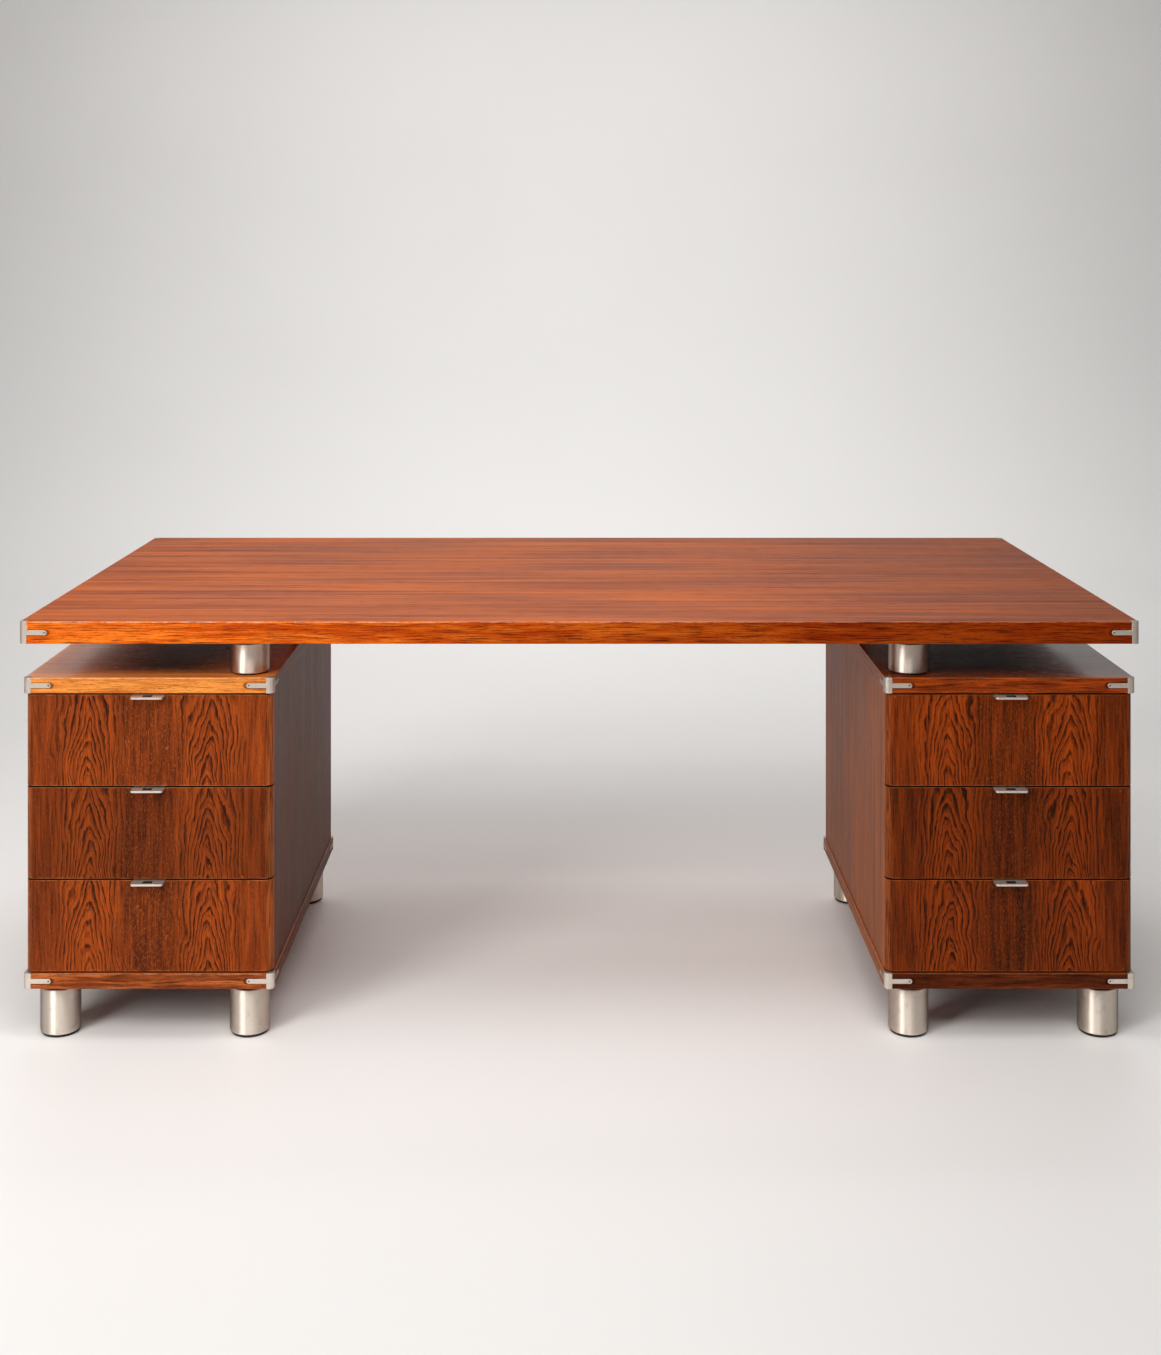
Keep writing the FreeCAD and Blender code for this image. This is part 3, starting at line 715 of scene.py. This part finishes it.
# %% Veneers
# The dark tone for the middle of the slabs under the top is painted shade.
under_top_painted_shade = (0.06, 0.05, 0.04, 1.0)
under_top = {"run": 0.35, "width": 0.012, "gloss_level": 0.38, "shelter_painted_shade": under_top_painted_shade, "depth": 0.06}
upright = {"run": 0.45, "width": 0.010, "coat": 0.0}
inner = {"contrast": 1.3, "rough": 0.44, "gloss_level": 0.07, **upright}
desktop_veneer = veneer(
    "desktop veneer", (190, 95, 34), (124, 51, 15), run=0.70, width=0.018, contrast=1.15, coat=0.0, gloss_level=0.05,
    right_painted_shade=(0.66, 0.62, 0.58, 1.0),
)
slab_veneer = veneer("slab veneer", (150, 66, 18), (96, 40, 11), rough=0.15, **under_top)
# The golden slab finish is partly faded wood and partly painted light from the key at the left.
faded_and_lit_veneer = veneer("faded slab veneer with painted light", (246, 150, 62), (206, 110, 40), rough=0.17, **under_top)
# The two inner side veneers are one wood as a lit and a shaded copy: painted light on the right side, which faces the
# key, painted shade on the left.
side_veneer_painted_shade = veneer("side veneer", (114, 58, 23), (74, 36, 14), **inner)
side_veneer_painted_lit = veneer("warm side veneer", (166, 88, 34), (116, 60, 20), **inner)
outer_veneer = veneer("outer veneer", (150, 68, 24), (88, 36, 12), contrast=1.2, gloss_level=0.10, **upright)
# Painted shade: the top and bottom faces of the drawer fronts are darkened so that the gaps between the drawers read
# dark.
front_ends_painted_shade = veneer("front ends", (52, 24, 12), (34, 15, 8), run=0.16, width=0.006, coat=0.0, gloss_level=0.03)
print("veneers", [m.name for m in bpy.data.materials if "veneer" in m.name])

# %% [markdown]
# ## Figured veneer for the drawer fronts
# The fronts carry the cathedral figure over the same grain. Rings darken the orange ground, broken up by
# the streaks into the lens-shaped marks of the real veneer, and pale flecks glint between the two rows.
# Streaks are livelier in the rows than beside them. Six painted pictures could show six sheets. Here each board's
# own number moves the noise and sets how far its sheet is darkened, so one finish gives sheets that differ.

# %% Figured veneer recipe
black = (0.0, 0.0, 0.0, 1.0)
darkest_sheet = 0.27
sheet_turn, sheet_start = 2.463, -2.709


def figured_veneer(name, pale, deep, ring, fleck, worn_and_lit_colour):
    """The drawer front finish, from five screen colours."""
    pale, deep, ring, fleck, worn_and_lit_colour = [shade(*colour) for colour in (pale, deep, ring, fleck, worn_and_lit_colour)]
    material, tree = new_material(
        name, Specular_IOR_Level=0.07, Coat_Weight=0.01, Coat_Roughness=0.25, Coat_IOR=1.45
    )
    board, half, seed, grain, edge = wood(tree, run=0.12, width=0.0075, reach=0.0014)
    dash = use_group(tree, grain_group, Place=board, Seed=calc(tree, "ADD", seed, 2.1), Run=0.045, Width=0.006)
    figure = use_group(tree, figure_group, Place=board, Seed=seed)
    lively = times(tree, figure["Zone"], 0.42, 0.58)
    tone = shifted(tree, grain["Streak"], grain["Cloud"], 0.60)
    tone = shifted(tree, tone, grain["Line"], 1.1)
    tone = shifted(tree, times(tree, figure["Middle"], -0.06, 0.42), tone, lively)
    colour = tint(tree, fade(tree, tone, 0.20, 0.78), deep, pale)
    glow = times(tree, figure["Zone"], calc(tree, "SUBTRACT", 1.0, figure["Ring"]))
    colour = over(tree, colour, glow, 0.55, pale)
    ringed = times(tree, figure["Ring"], fade(tree, dash["Streak"], 0.62, 0.42, 0.18, 1.0))
    ringed = times(tree, ringed, times(tree, figure["Zone"], 0.72, 0.14))
    colour = tint(tree, ringed, colour, ring)
    colour = over(tree, colour, fade(tree, grain["Line"], 0.52, 0.68), times(tree, lively, 0.62), ring)
    glint = times(tree, figure["Middle"], 0.26, times(tree, figure["Zone"], -0.10, 0.18))
    colour = over(tree, colour, figure["Fleck"], glint, fleck)
    sheet = calc(tree, "COSINE", times(tree, seed, sheet_turn, sheet_start))
    colour = tint(tree, fade(tree, sheet, -1.0, 1.0, darkest_sheet, 0.0), colour, black)
    # The rounded upright edges of a front are lightened: wear, and a painted highlight where they catch the key light.
    side_gap = edge_gaps(tree, board, half)[1]
    side_wear_and_highlight = times(tree, fade(tree, side_gap, 0.002, 0.014, 1.0, 0.0), fade(tree, grain["Line"], 0.35, 0.65))
    colour = over(tree, colour, side_wear_and_highlight, 0.35, worn_and_lit_colour)
    colour = over(tree, colour, edge["Wear"], 0.45, worn_and_lit_colour)
    colour = over(tree, colour, edge["Nick"], 0.6, fleck)
    gloss = times(tree, ringed, 0.12, times(tree, grain["Cloud"], 0.16, 0.34))
    relief = times(tree, ringed, -0.6, times(tree, grain["Line"], 0.4))
    complete(tree, colour, gloss, bumped(tree, relief, 0.35))
    return material


print("figured veneer recipe ready")

# %% Drawer front veneers
front_veneer = figured_veneer(
    "front veneer", (178, 78, 21), (77, 29, 8), (38, 13, 4), (204, 114, 58), (228, 142, 84)
)
# A darker copy of the front veneer for the right pedestal: painted shade, away from the key light at the left.
front_veneer_painted_shade = figured_veneer(
    "dark front veneer", (168, 68, 11), (58, 21, 4), (23, 7, 2), (186, 94, 40), (206, 116, 60)
)
print("front veneer has", len(front_veneer.node_tree.nodes), "nodes")

# %% [markdown]
# ## Solid lippings
# The edges of the top and slabs are strips of solid timber, more orange than the veneer, with dark flecks.
# They darken towards the right, which is painted shade away from the key light at the left. Their upper edges are worn
# pale, and that pale line, fading to the right, is also a painted highlight where the rounded edge catches the light.
# Each strip is cut out for the nickel straps of the corner clips, and dirt gathers in that joint.
# It is too thin to model, so a group draws a dark line round the strap, from the distance to a rounded bar
# at the strip's ends.

# %% Strap outline group
tree, given, result = new_group(
    "strap outline", {"Board": None, "Half": None, "Reach": 0.036, "Round": 0.00425}, ("Outline",)
)
across = split(tree, given["Board"])[1]
end_gap = edge_gaps(tree, given["Board"], given["Half"])[0]
past = calc(tree, "MAXIMUM", calc(tree, "SUBTRACT", end_gap, given["Reach"]), 0.0)
away = calc(tree, "SQRT", times(tree, past, past, times(tree, across, across)))
outside = calc(tree, "SUBTRACT", away, given["Round"])
strap_group = group_of(tree, result, Outline=fade(tree, outside, 0.0003, 0.0022, 1.0, 0.0))

# %% Lipping finish
def lipping_wood(name, pale, deep, right_painted_shade, start, end, rub_and_highlight=0.9, flecks=0.8):
    """Solid edge timber that darkens to a painted shade between two places along the desk."""
    material, tree = new_material(name, Specular_IOR_Level=0.06, Coat_Weight=0.01, **lacquer)
    board, half, seed, grain, edge = wood(tree, run=0.11, width=0.010, reach=0.0022)
    strap = use_group(tree, strap_group, Board=board, Half=half)
    desk_x = split(tree, object_place(tree))[0]
    tone = shifted(tree, grain["Streak"], grain["Cloud"], 0.5)
    colour = tint(tree, fade(tree, tone, 0.30, 0.70), shade(*deep), shade(*pale))
    # Painted shade: the strip darkens towards the right, away from the key light at the left.
    colour = tint(tree, fade(tree, desk_x, start, end), colour, right_painted_shade, "MULTIPLY")
    dark = tint(tree, 1.0, colour, (0.22, 0.15, 0.10, 1.0), "MULTIPLY")
    colour = over(tree, colour, fade(tree, grain["Line"], 0.50, 0.64), flecks, dark)
    colour = over(tree, colour, grain["Pore"], 0.75, dark)
    # The pale upper edge is wear plus a painted highlight, fading towards the right, away from the key light.
    worn_and_highlight = tint(tree, 0.62, colour, shade(255, 222, 186))
    rub_and_highlight_here = fade(tree, desk_x, start, end, rub_and_highlight, 0.3 * rub_and_highlight)
    upper = fade(tree, split(tree, board)[1], -0.002, 0.002, 0.0, rub_and_highlight_here)
    colour = over(tree, colour, edge["Wear"], upper, worn_and_highlight)
    colour = over(tree, colour, strap["Outline"], 0.8, dark)
    relief = times(tree, grain["Pore"], -0.8, times(tree, grain["Line"], 0.3))
    complete(tree, colour, times(tree, grain["Cloud"], 0.16, 0.28), bumped(tree, relief, 0.30))
    return material


by_pedestal = {"start": -0.2, "end": 0.4}
top_lipping = lipping_wood(
    "top lipping", (246, 124, 32), (196, 74, 8), (0.30, 0.18, 0.07, 1.0), start=-0.98, end=0.90, flecks=0.9
)
slab_lipping = lipping_wood(
    "slab lipping", (196, 104, 50), (124, 56, 23), (0.36, 0.30, 0.24, 1.0), rub_and_highlight=0.35, **by_pedestal
)
russet_lipping = lipping_wood(
    "russet lipping", (168, 70, 18), (98, 37, 8), (1.0, 1.0, 1.0, 1.0), rub_and_highlight=0.4, **by_pedestal
)
# The golden strip finish is partly faded wood and partly painted light from the key at the left.
faded_and_lit_lipping = lipping_wood(
    "faded lipping with painted light", (236, 148, 68), (192, 104, 38), (0.9, 0.8, 0.7, 1.0), flecks=0.5, **by_pedestal
)
print("lippings", [m.name for m in bpy.data.materials if "lipping" in m.name])

# %% [markdown]
# ## Inside the drawers
# Drawer boxes are usually a paler, plain timber with a thin finish, and these show it when they open.
# The runners and dowels are the same stuff. The veneer recipe serves, with fewer pores and a softer contrast.

# %% Drawer timber
drawer_timber = veneer(
    "drawer timber", (206, 164, 112), (172, 126, 80), run=0.30, width=0.018, contrast=0.8, rough=0.52, pore=0.25
)
print("drawer timber ready")

# %% [markdown]
# ## Satin nickel, steel and nylon
# Legs, columns, clips and pulls are satin nickel: bright, slightly warm, with a soft sheen and faint stains.
# One plain grey with one roughness would look like plastic. Metal has little colour of its own,
# so the look comes from roughness that varies a little and from fine marks that bend the reflections.

# %% Metal marks group
tree, given, result = new_group("metal marks", {"Place": None, "Scale": 1.0}, ("Brush", "Spot", "Scratch"))
even_scale = joined(tree, given["Scale"], given["Scale"], given["Scale"])
scaled = vector_calc(tree, "MULTIPLY", given["Place"], even_scale)
scratch = speckle(tree, scaled, (160.0, 160.0, 14.0), 1.0, 0.5, 0.6)
thin = fade(tree, off_centre(tree, scratch), 0.0, 0.012, 1.0, 0.0)
where = fade(tree, speckle(tree, scaled, 22.0, 1.0), 0.55, 0.62)
marks_group = group_of(
    tree, result,
    Brush=speckle(tree, scaled, (30.0, 30.0, 900.0), 2.0, 0.6),
    Spot=fade(tree, speckle(tree, scaled, 46.0, 4.0, 0.65), 0.52, 0.74),
    Scratch=times(tree, thin, where),
)

# %% Nickel, bolt steel and nylon
def satin_metal(name, clean, stained, rough, scale=1.0, metallic=1.0, turned=0.0):
    """A satin metal with faint stains and scratches. Turned metal draws reflections out upright."""
    clean, stained = shade(*clean), shade(*stained)
    material, tree = new_material(
        name, Metallic=metallic, Specular_Tint=(0.12, 0.11, 0.10, 1.0), Anisotropic=turned, Anisotropic_Rotation=0.25
    )
    marks = use_group(tree, marks_group, Place=object_place(tree), Scale=scale)
    colour = over(tree, clean, marks["Spot"], 0.35, stained)
    colour = over(tree, colour, marks["Scratch"], 0.5, stained)
    gloss = times(tree, marks["Brush"], 0.12, times(tree, marks["Spot"], 0.05, rough - 0.06))
    relief = times(tree, marks["Scratch"], -0.6, marks["Brush"])
    complete(tree, colour, gloss, bumped(tree, relief, 0.12, 0.0002))
    return material


satin_nickel = satin_metal("satin nickel", (242, 230, 217), (196, 176, 157), rough=0.48, turned=0.9)
clip_nickel = satin_metal("clip nickel", (222, 210, 198), (164, 147, 128), rough=0.32, scale=2.0, metallic=0.8)
pull_nickel = satin_metal("pull nickel", (236, 224, 212), (178, 160, 140), rough=0.38, scale=2.0, metallic=0.85)
# The slot shade is painted shade for the inside of the pull's finger slot.
slot_shade = satin_metal("slot shade", (52, 44, 38), (30, 25, 21), rough=0.60, scale=3.0)
bolt_steel = satin_metal("bolt steel", (118, 108, 98), (66, 58, 50), rough=0.42, scale=3.0)

black_nylon, tree = new_material("black nylon", Specular_IOR_Level=0.35)
nylon_place = object_place(tree)
nylon_grain = speckle(tree, nylon_place, 700.0)
nylon_dust = fade(tree, speckle(tree, nylon_place, 70.0, 3.0), 0.5, 0.8)
complete(
    tree,
    tint(tree, nylon_dust, shade(22, 20, 18), shade(44, 40, 37)),
    fade(tree, nylon_grain, 0.2, 0.8, 0.48, 0.66),
    bumped(tree, nylon_grain, 0.25, 0.0002),
)
print("metals and nylon ready")

# %% [markdown]
# ## Dress the top
# The top is a veneered panel framed by four solid strips, with a nickel clip let into each corner.
# Its grain runs the length of the desk, so the grain axis is x. The strips take their own longest axis.
# Panel and strips could each be a board of their own, but the veneer runs out over the strips,
# so all the faces that look up share one box.

# %% The desktop
along_x, along_y, along_z = range(3)
square = 0.0
strip_ease = 0.0005
clip_ease = 0.0004
one_sheet = {"grain": along_x, "seed": 0.4, "whole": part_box("desktop_lippings")}
dress("desktop_panel", desktop_veneer, "wood_top", square, **one_sheet)
dress("desktop_lippings", top_lipping, "wood_edge", strip_ease, veneer_over=desktop_veneer, **one_sheet)
dress("desktop_corner_clips", clip_nickel, "nickel", clip_ease)
print("desktop pieces", len(finished_pieces))

# %% [markdown]
# ## Dress the pedestals
# Each pedestal is a box of two slabs, two sides and a back. The left top slab has a golden tone, partly faded wood
# and partly painted light from the key at the left, which reaches it through the gap under the top, so it gets the
# faded finish.
# The inner sides are duller than the fronts. The outer sides and backs aren't in the picture,
# so they take a plain red-brown veneer.
# Grain stands upright on the sides and backs and lies along x on the slabs.

# %% Helpers for slabs
def slab_box(node, lipping=0.013):
    """The box of a slab and the strips round it: the slab grown by the strips' thickness."""
    low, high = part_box(node)
    grown = Vector((lipping, lipping, 0.0))
    return low - grown, high + grown


def refinish(piece, wanted, *finishes):
    """Gives the faces that pass a test other finishes, in the order of the first ones."""
    count = len(piece.data.materials)
    for finish in finishes:
        piece.data.materials.append(finish)
    for face in piece.data.polygons:
        if face.material_index < len(finishes) and wanted(face):
            face.material_index += count


print("slab helpers ready")

# %% The pedestals
steep = 0.7
pedestal_middle = 0.4
panel_ease = 0.0006
board_ease = 0.0008
leg_ease = 0.0008
for hand, seed in (("left", 0.9), ("right", 2.6)):
    # The left top slab and its strips take the golden finish: partly faded wood, partly painted light from the key at
    # the left.
    top_sheet, top_strip = (faded_and_lit_veneer, faded_and_lit_lipping) if hand == "left" else (slab_veneer, russet_lipping)
    # The right inner side takes the brighter copy as painted light from the key, the left inner side the darker copy
    # as painted shade.
    inner_sheet = side_veneer_painted_shade if hand == "left" else side_veneer_painted_lit
    top_box = slab_box(hand + "_top_slab")
    bottom_box = slab_box(hand + "_bottom_slab")
    dress(hand + "_top_slab", top_sheet, "wood_top", square, along_x, seed, whole=top_box)
    dress(hand + "_bottom_slab", slab_veneer, "wood_top", square, along_x, seed + 0.7, whole=bottom_box)
    dress(hand + "_outer_side_panel", outer_veneer, "wood_side", panel_ease, along_z, seed + 1.1)
    dress(hand + "_inner_side_panel", inner_sheet, "wood_side", panel_ease, along_z, seed + 1.9)
    dress(hand + "_back_panel", outer_veneer, "wood_front", board_ease, along_z, seed + 2.3)
    strips = dress(
        hand + "_slab_lippings", slab_lipping, "wood_edge", strip_ease, along_x, seed, whole=top_box,
        veneer_over=slab_veneer,
    )
    refinish(strips, lambda face: abs(face.normal.x) > steep, inner_sheet)
    refinish(strips, lambda face: face.center.z > pedestal_middle, top_strip, top_sheet)
    dress(hand + "_corner_clips", clip_nickel, "nickel", clip_ease)
    dress(hand + "_legs", satin_nickel, "nickel", leg_ease)
    dress(hand + "_drawer_runners", drawer_timber, "drawer_wood", board_ease, seed=seed + 3.3)
print("pieces so far", len(finished_pieces))

# %% Columns, glides and what joins the boards
for node, finish, slot, ease in (
    ("spacer_columns", satin_nickel, "nickel", 0.0006),
    ("spacer_pads", black_nylon, "black_nylon", 0.0004),
    ("column_necks", black_nylon, "black_nylon", 0.0004),
    ("leg_glides", black_nylon, "black_nylon", 0.0006),
    ("carcass_dowels", drawer_timber, "drawer_wood", 0.0),
    ("spacer_bolts", bolt_steel, "bolt_steel", 0.0004),
    ("leg_bolts", bolt_steel, "bolt_steel", 0.0004),
):
    dress(node, finish, slot, ease, seed=3.1)
print("pieces so far", len(finished_pieces))

# %% [markdown]
# ## Dress the drawers
# A drawer is a figured front with a nickel pull let into its top edge, and a plain box behind it.
# All six are built alike, so one loop dresses them. The pull's own two screws are left to the next step.

# %% Helpers for drawers
def is_plate(corners, widest_screw=0.03):
    """True for the pull's plate, which is wider than its screws."""
    return corners[1].x - corners[0].x > widest_screw


def darken_slot(plate, slot_half=0.0092, slot_front=0.004, slot_rear=0.0185):
    """Gives the walls of the finger slot a dark finish: painted shade for the dark hollow of the slot."""
    low, high = span(plate.data.vertices)
    middle = (low.x + high.x) / 2

    def is_wall(face):
        beside = abs(face.center.x - middle) < slot_half
        inside = low.y + slot_front < face.center.y < low.y + slot_rear
        return beside and inside and abs(face.normal.z) < 0.5

    refinish(plate, is_wall, slot_shade)


print("drawer helpers ready")

# %% The six drawers
level = 0.9
front_ease = 0.0009
pull_ease = 0.0004
drawers = [hand + "_" + tier + "_drawer" for hand in ("left", "right") for tier in ("bottom", "middle", "top")]
for number, drawer in enumerate(drawers):
    seed = 0.6 + number * 1.07
    sheet = front_veneer if drawer.startswith("left") else front_veneer_painted_shade
    front = dress(drawer + "_front", sheet, "wood_front", front_ease, along_z, seed)
    # Painted shade on the top and bottom faces, for the dark gaps between the drawers.
    refinish(front, lambda face: abs(face.normal.z) > level, front_ends_painted_shade)
    darken_slot(dress(drawer + "_pull", pull_nickel, "nickel", pull_ease, solids=is_plate))
    dress(drawer + "_sides", drawer_timber, "drawer_wood", board_ease, along_y, seed + 0.2)
    dress(drawer + "_back", drawer_timber, "drawer_wood", board_ease, along_x, seed + 0.5)
    dress(drawer + "_bottom", drawer_timber, "drawer_wood", square, along_x, seed + 0.8)
print("drawers dressed", len(drawers), "and pieces in all", len(finished_pieces))

# %% [markdown]
# ## Pins and screws
# Forty pins hold the corner clips, and two screws hold each pull. One of each could be modelled and copied about,
# but they repeat with other sizes, so one Geometry Nodes tree with named sizes makes both.
# The tree puts one head on every point it is given and turns it to face the way the point says.
# A head is a disc pushed up, drawn in to a rim, and pushed down into a dimple. A screw also has a slot cut through it.

# %% Push faces and draw them in
def pushed(tree, mesh, part, distance):
    """Extrudes faces. Gives the mesh and the faces at the top."""
    node = node_by_name(tree, "GeometryNodeExtrudeMesh", Mesh=mesh, Offset_Scale=distance)
    if part is not None:
        feed(tree, part, node.inputs["Selection"])
    return node.outputs["Mesh"], node.outputs["Top"]


def drawn_in(tree, body, share):
    """Scales the top faces towards their middle."""
    node = node_by_name(tree, "GeometryNodeScaleElements", Geometry=body[0], Selection=body[1], Scale=share)
    return node.outputs["Geometry"], body[1]


print("face helpers ready")

# %% Shape of one head
def head_body(tree, given):
    """A dimpled head on a shank, as one closed mesh."""
    disc = node_by_name(tree, "GeometryNodeMeshCircle", Vertices=20, Radius=given["Head radius"])
    disc.fill_type = "NGON"
    body = pushed(tree, disc.outputs[0], None, given["Head height"])
    for share, lift in (
        (0.92, times(tree, given["Head height"], 0.25)),
        (0.88, 0.0),
        (0.70, times(tree, given["Dimple depth"], -1.0)),
    ):
        body = pushed(tree, *drawn_in(tree, body, share), lift)
    body = drawn_in(tree, body, 0.8)
    under = node_by_name(tree, "GeometryNodeTransform", Geometry=disc.outputs[0], Rotation=(math.pi, 0.0, 0.0))
    foot = drawn_in(tree, pushed(tree, under.outputs[0], None, given["Shank length"]), 0.8)
    whole = tree.nodes.new("GeometryNodeJoinGeometry")
    feed(tree, body[0], whole.inputs[0])
    feed(tree, foot[0], whole.inputs[0])
    return node_by_name(tree, "GeometryNodeMergeByDistance", Geometry=whole.outputs[0], Distance=0.00001).outputs[0]


print("head shape ready")

# %% Slot of a screw head
def with_slot(tree, given, head):
    """The head, or the head with a slot cut through it if it is to be slotted."""
    size = joined(tree, times(tree, given["Head radius"], 3.0), given["Slot width"], given["Head height"])
    cutter = node_by_name(tree, "GeometryNodeMeshCube", Size=size).outputs[0]
    lift = joined(tree, 0.0, 0.0, times(tree, given["Head height"], 1.2))
    cutter = node_by_name(tree, "GeometryNodeTransform", Geometry=cutter, Translation=lift).outputs[0]
    carved = tree.nodes.new("GeometryNodeMeshBoolean")
    carved.operation = "DIFFERENCE"
    feed(tree, head, carved.inputs["Mesh 1"])
    feed(tree, cutter, carved.inputs["Mesh 2"])
    choice = tree.nodes.new("GeometryNodeSwitch")
    choice.input_type = "GEOMETRY"
    for label, value in (("Switch", given["Slotted"]), ("False", head), ("True", carved.outputs[0])):
        feed(tree, value, choice.inputs[label])
    return choice.outputs[0]


print("slot shape ready")

# %% Head tree
heads = bpy.data.node_groups.new("fastener heads", "GeometryNodeTree")
head_inputs = {
    "Points": "Geometry", "Head radius": "Float", "Head height": "Float", "Shank length": "Float",
    "Dimple depth": "Float", "Slot width": "Float", "Slotted": "Bool", "Finish": "Material",
}
for label, kind in head_inputs.items():
    heads.interface.new_socket(label, in_out="INPUT", socket_type="NodeSocket" + kind)
heads.interface.new_socket("Heads", in_out="OUTPUT", socket_type="NodeSocketGeometry")
given = heads.nodes.new("NodeGroupInput").outputs
result = heads.nodes.new("NodeGroupOutput").inputs

facing = node_by_name(heads, "GeometryNodeInputNamedAttribute", Name="facing")
facing.data_type = "FLOAT_VECTOR"
turned = node_by_name(heads, "FunctionNodeAlignRotationToVector", Vector=facing.outputs["Attribute"])
turned.axis = "Z"
head = with_slot(heads, given, head_body(heads, given))
on_points = node_by_name(
    heads, "GeometryNodeInstanceOnPoints", Points=given["Points"], Instance=head, Rotation=turned.outputs[0]
)
real = node_by_name(heads, "GeometryNodeRealizeInstances", Geometry=on_points.outputs[0])
coated = node_by_name(heads, "GeometryNodeSetMaterial", Geometry=real.outputs[0], Material=given["Finish"])
feed(heads, coated.outputs[0], result["Heads"])
print("head tree with", len(heads.nodes), "nodes")

# %% Put heads on points
def fastener_heads(name, places, body, slot, **sizes):
    """Runs the tree over (point, facing) pairs and keeps the result as a plain mesh."""
    mesh = bpy.data.meshes.new(name)
    mesh.from_pydata([place for place, way in places], [], [])
    ways = mesh.attributes.new("facing", "FLOAT_VECTOR", "POINT")
    for number, (place, way) in enumerate(places):
        ways.data[number].vector = way
    piece = new_object(name, mesh)
    modifier = piece.modifiers.new("heads", "NODES")
    modifier.node_group = heads
    for socket in heads.interface.items_tree:
        label = socket.name.replace(" ", "_")
        if socket.in_out == "INPUT" and label in sizes:
            modifier[socket.identifier] = sizes[label]
    settle(piece)
    piece.data.shade_smooth()
    piece.data.set_sharp_from_angle(angle=math.radians(40))
    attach(piece, body)
    return piece


def fastener_places(node, way_of, sink, wanted=None):
    """The seat and facing of each fastener in a frame piece: its outer end, less the sink."""
    shape = copied_shape(node)
    places = []
    for solid in solids_of(shape):
        low, high = span(solid)
        if wanted is None or wanted((low, high)):
            middle = (low + high) / 2
            way = way_of(middle, high - low)
            end = middle + Vector([w * abs(w) * (h - l) / 2 for w, h, l in zip(way, high, low)])
            places.append((end - way * sink, way))
    shape.free()
    return places


print("head helpers ready")

# %% Clip pins
pedestal_x = 0.775
pedestal_y = -0.091
top_level = 0.7


def pin_way(middle, size):
    """A pin points out of its board, along its own length."""
    on_top = middle.z > top_level
    side = 0.0 if on_top else math.copysign(pedestal_x, middle.x)
    depth = 0.0 if on_top else pedestal_y
    if size.x > size.y:
        return Vector((math.copysign(1.0, middle.x - side), 0.0, 0.0))
    return Vector((0.0, math.copysign(1.0, middle.y - depth), 0.0))


pin_places = fastener_places("clip_pins", pin_way, sink=0.0007)
pin_heads = fastener_heads(
    "clip_pin_heads", pin_places, "desk_frame", "bolt_steel",
    Head_radius=0.00155, Head_height=0.0005, Shank_length=0.006, Dimple_depth=0.0003, Finish=bolt_steel,
)
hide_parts("clip_pins")
print("pins", len(pin_places), "with", len(pin_heads.data.polygons), "faces")

# %% Pull screws
upward = Vector((0.0, 0.0, 1.0))
screw_count = 0
for drawer in drawers:
    screw_places = fastener_places(
        drawer + "_pull", lambda middle, size: upward, sink=0.0016, wanted=lambda corners: not is_plate(corners)
    )
    fastener_heads(
        drawer + "_pull_screws", screw_places, drawer, "nickel",
        Head_radius=0.0036, Head_height=0.0011, Shank_length=0.004, Dimple_depth=0.0001, Slot_width=0.001,
        Slotted=True, Finish=bolt_steel,
    )
    screw_count += len(screw_places)
print("pull screws", screw_count)
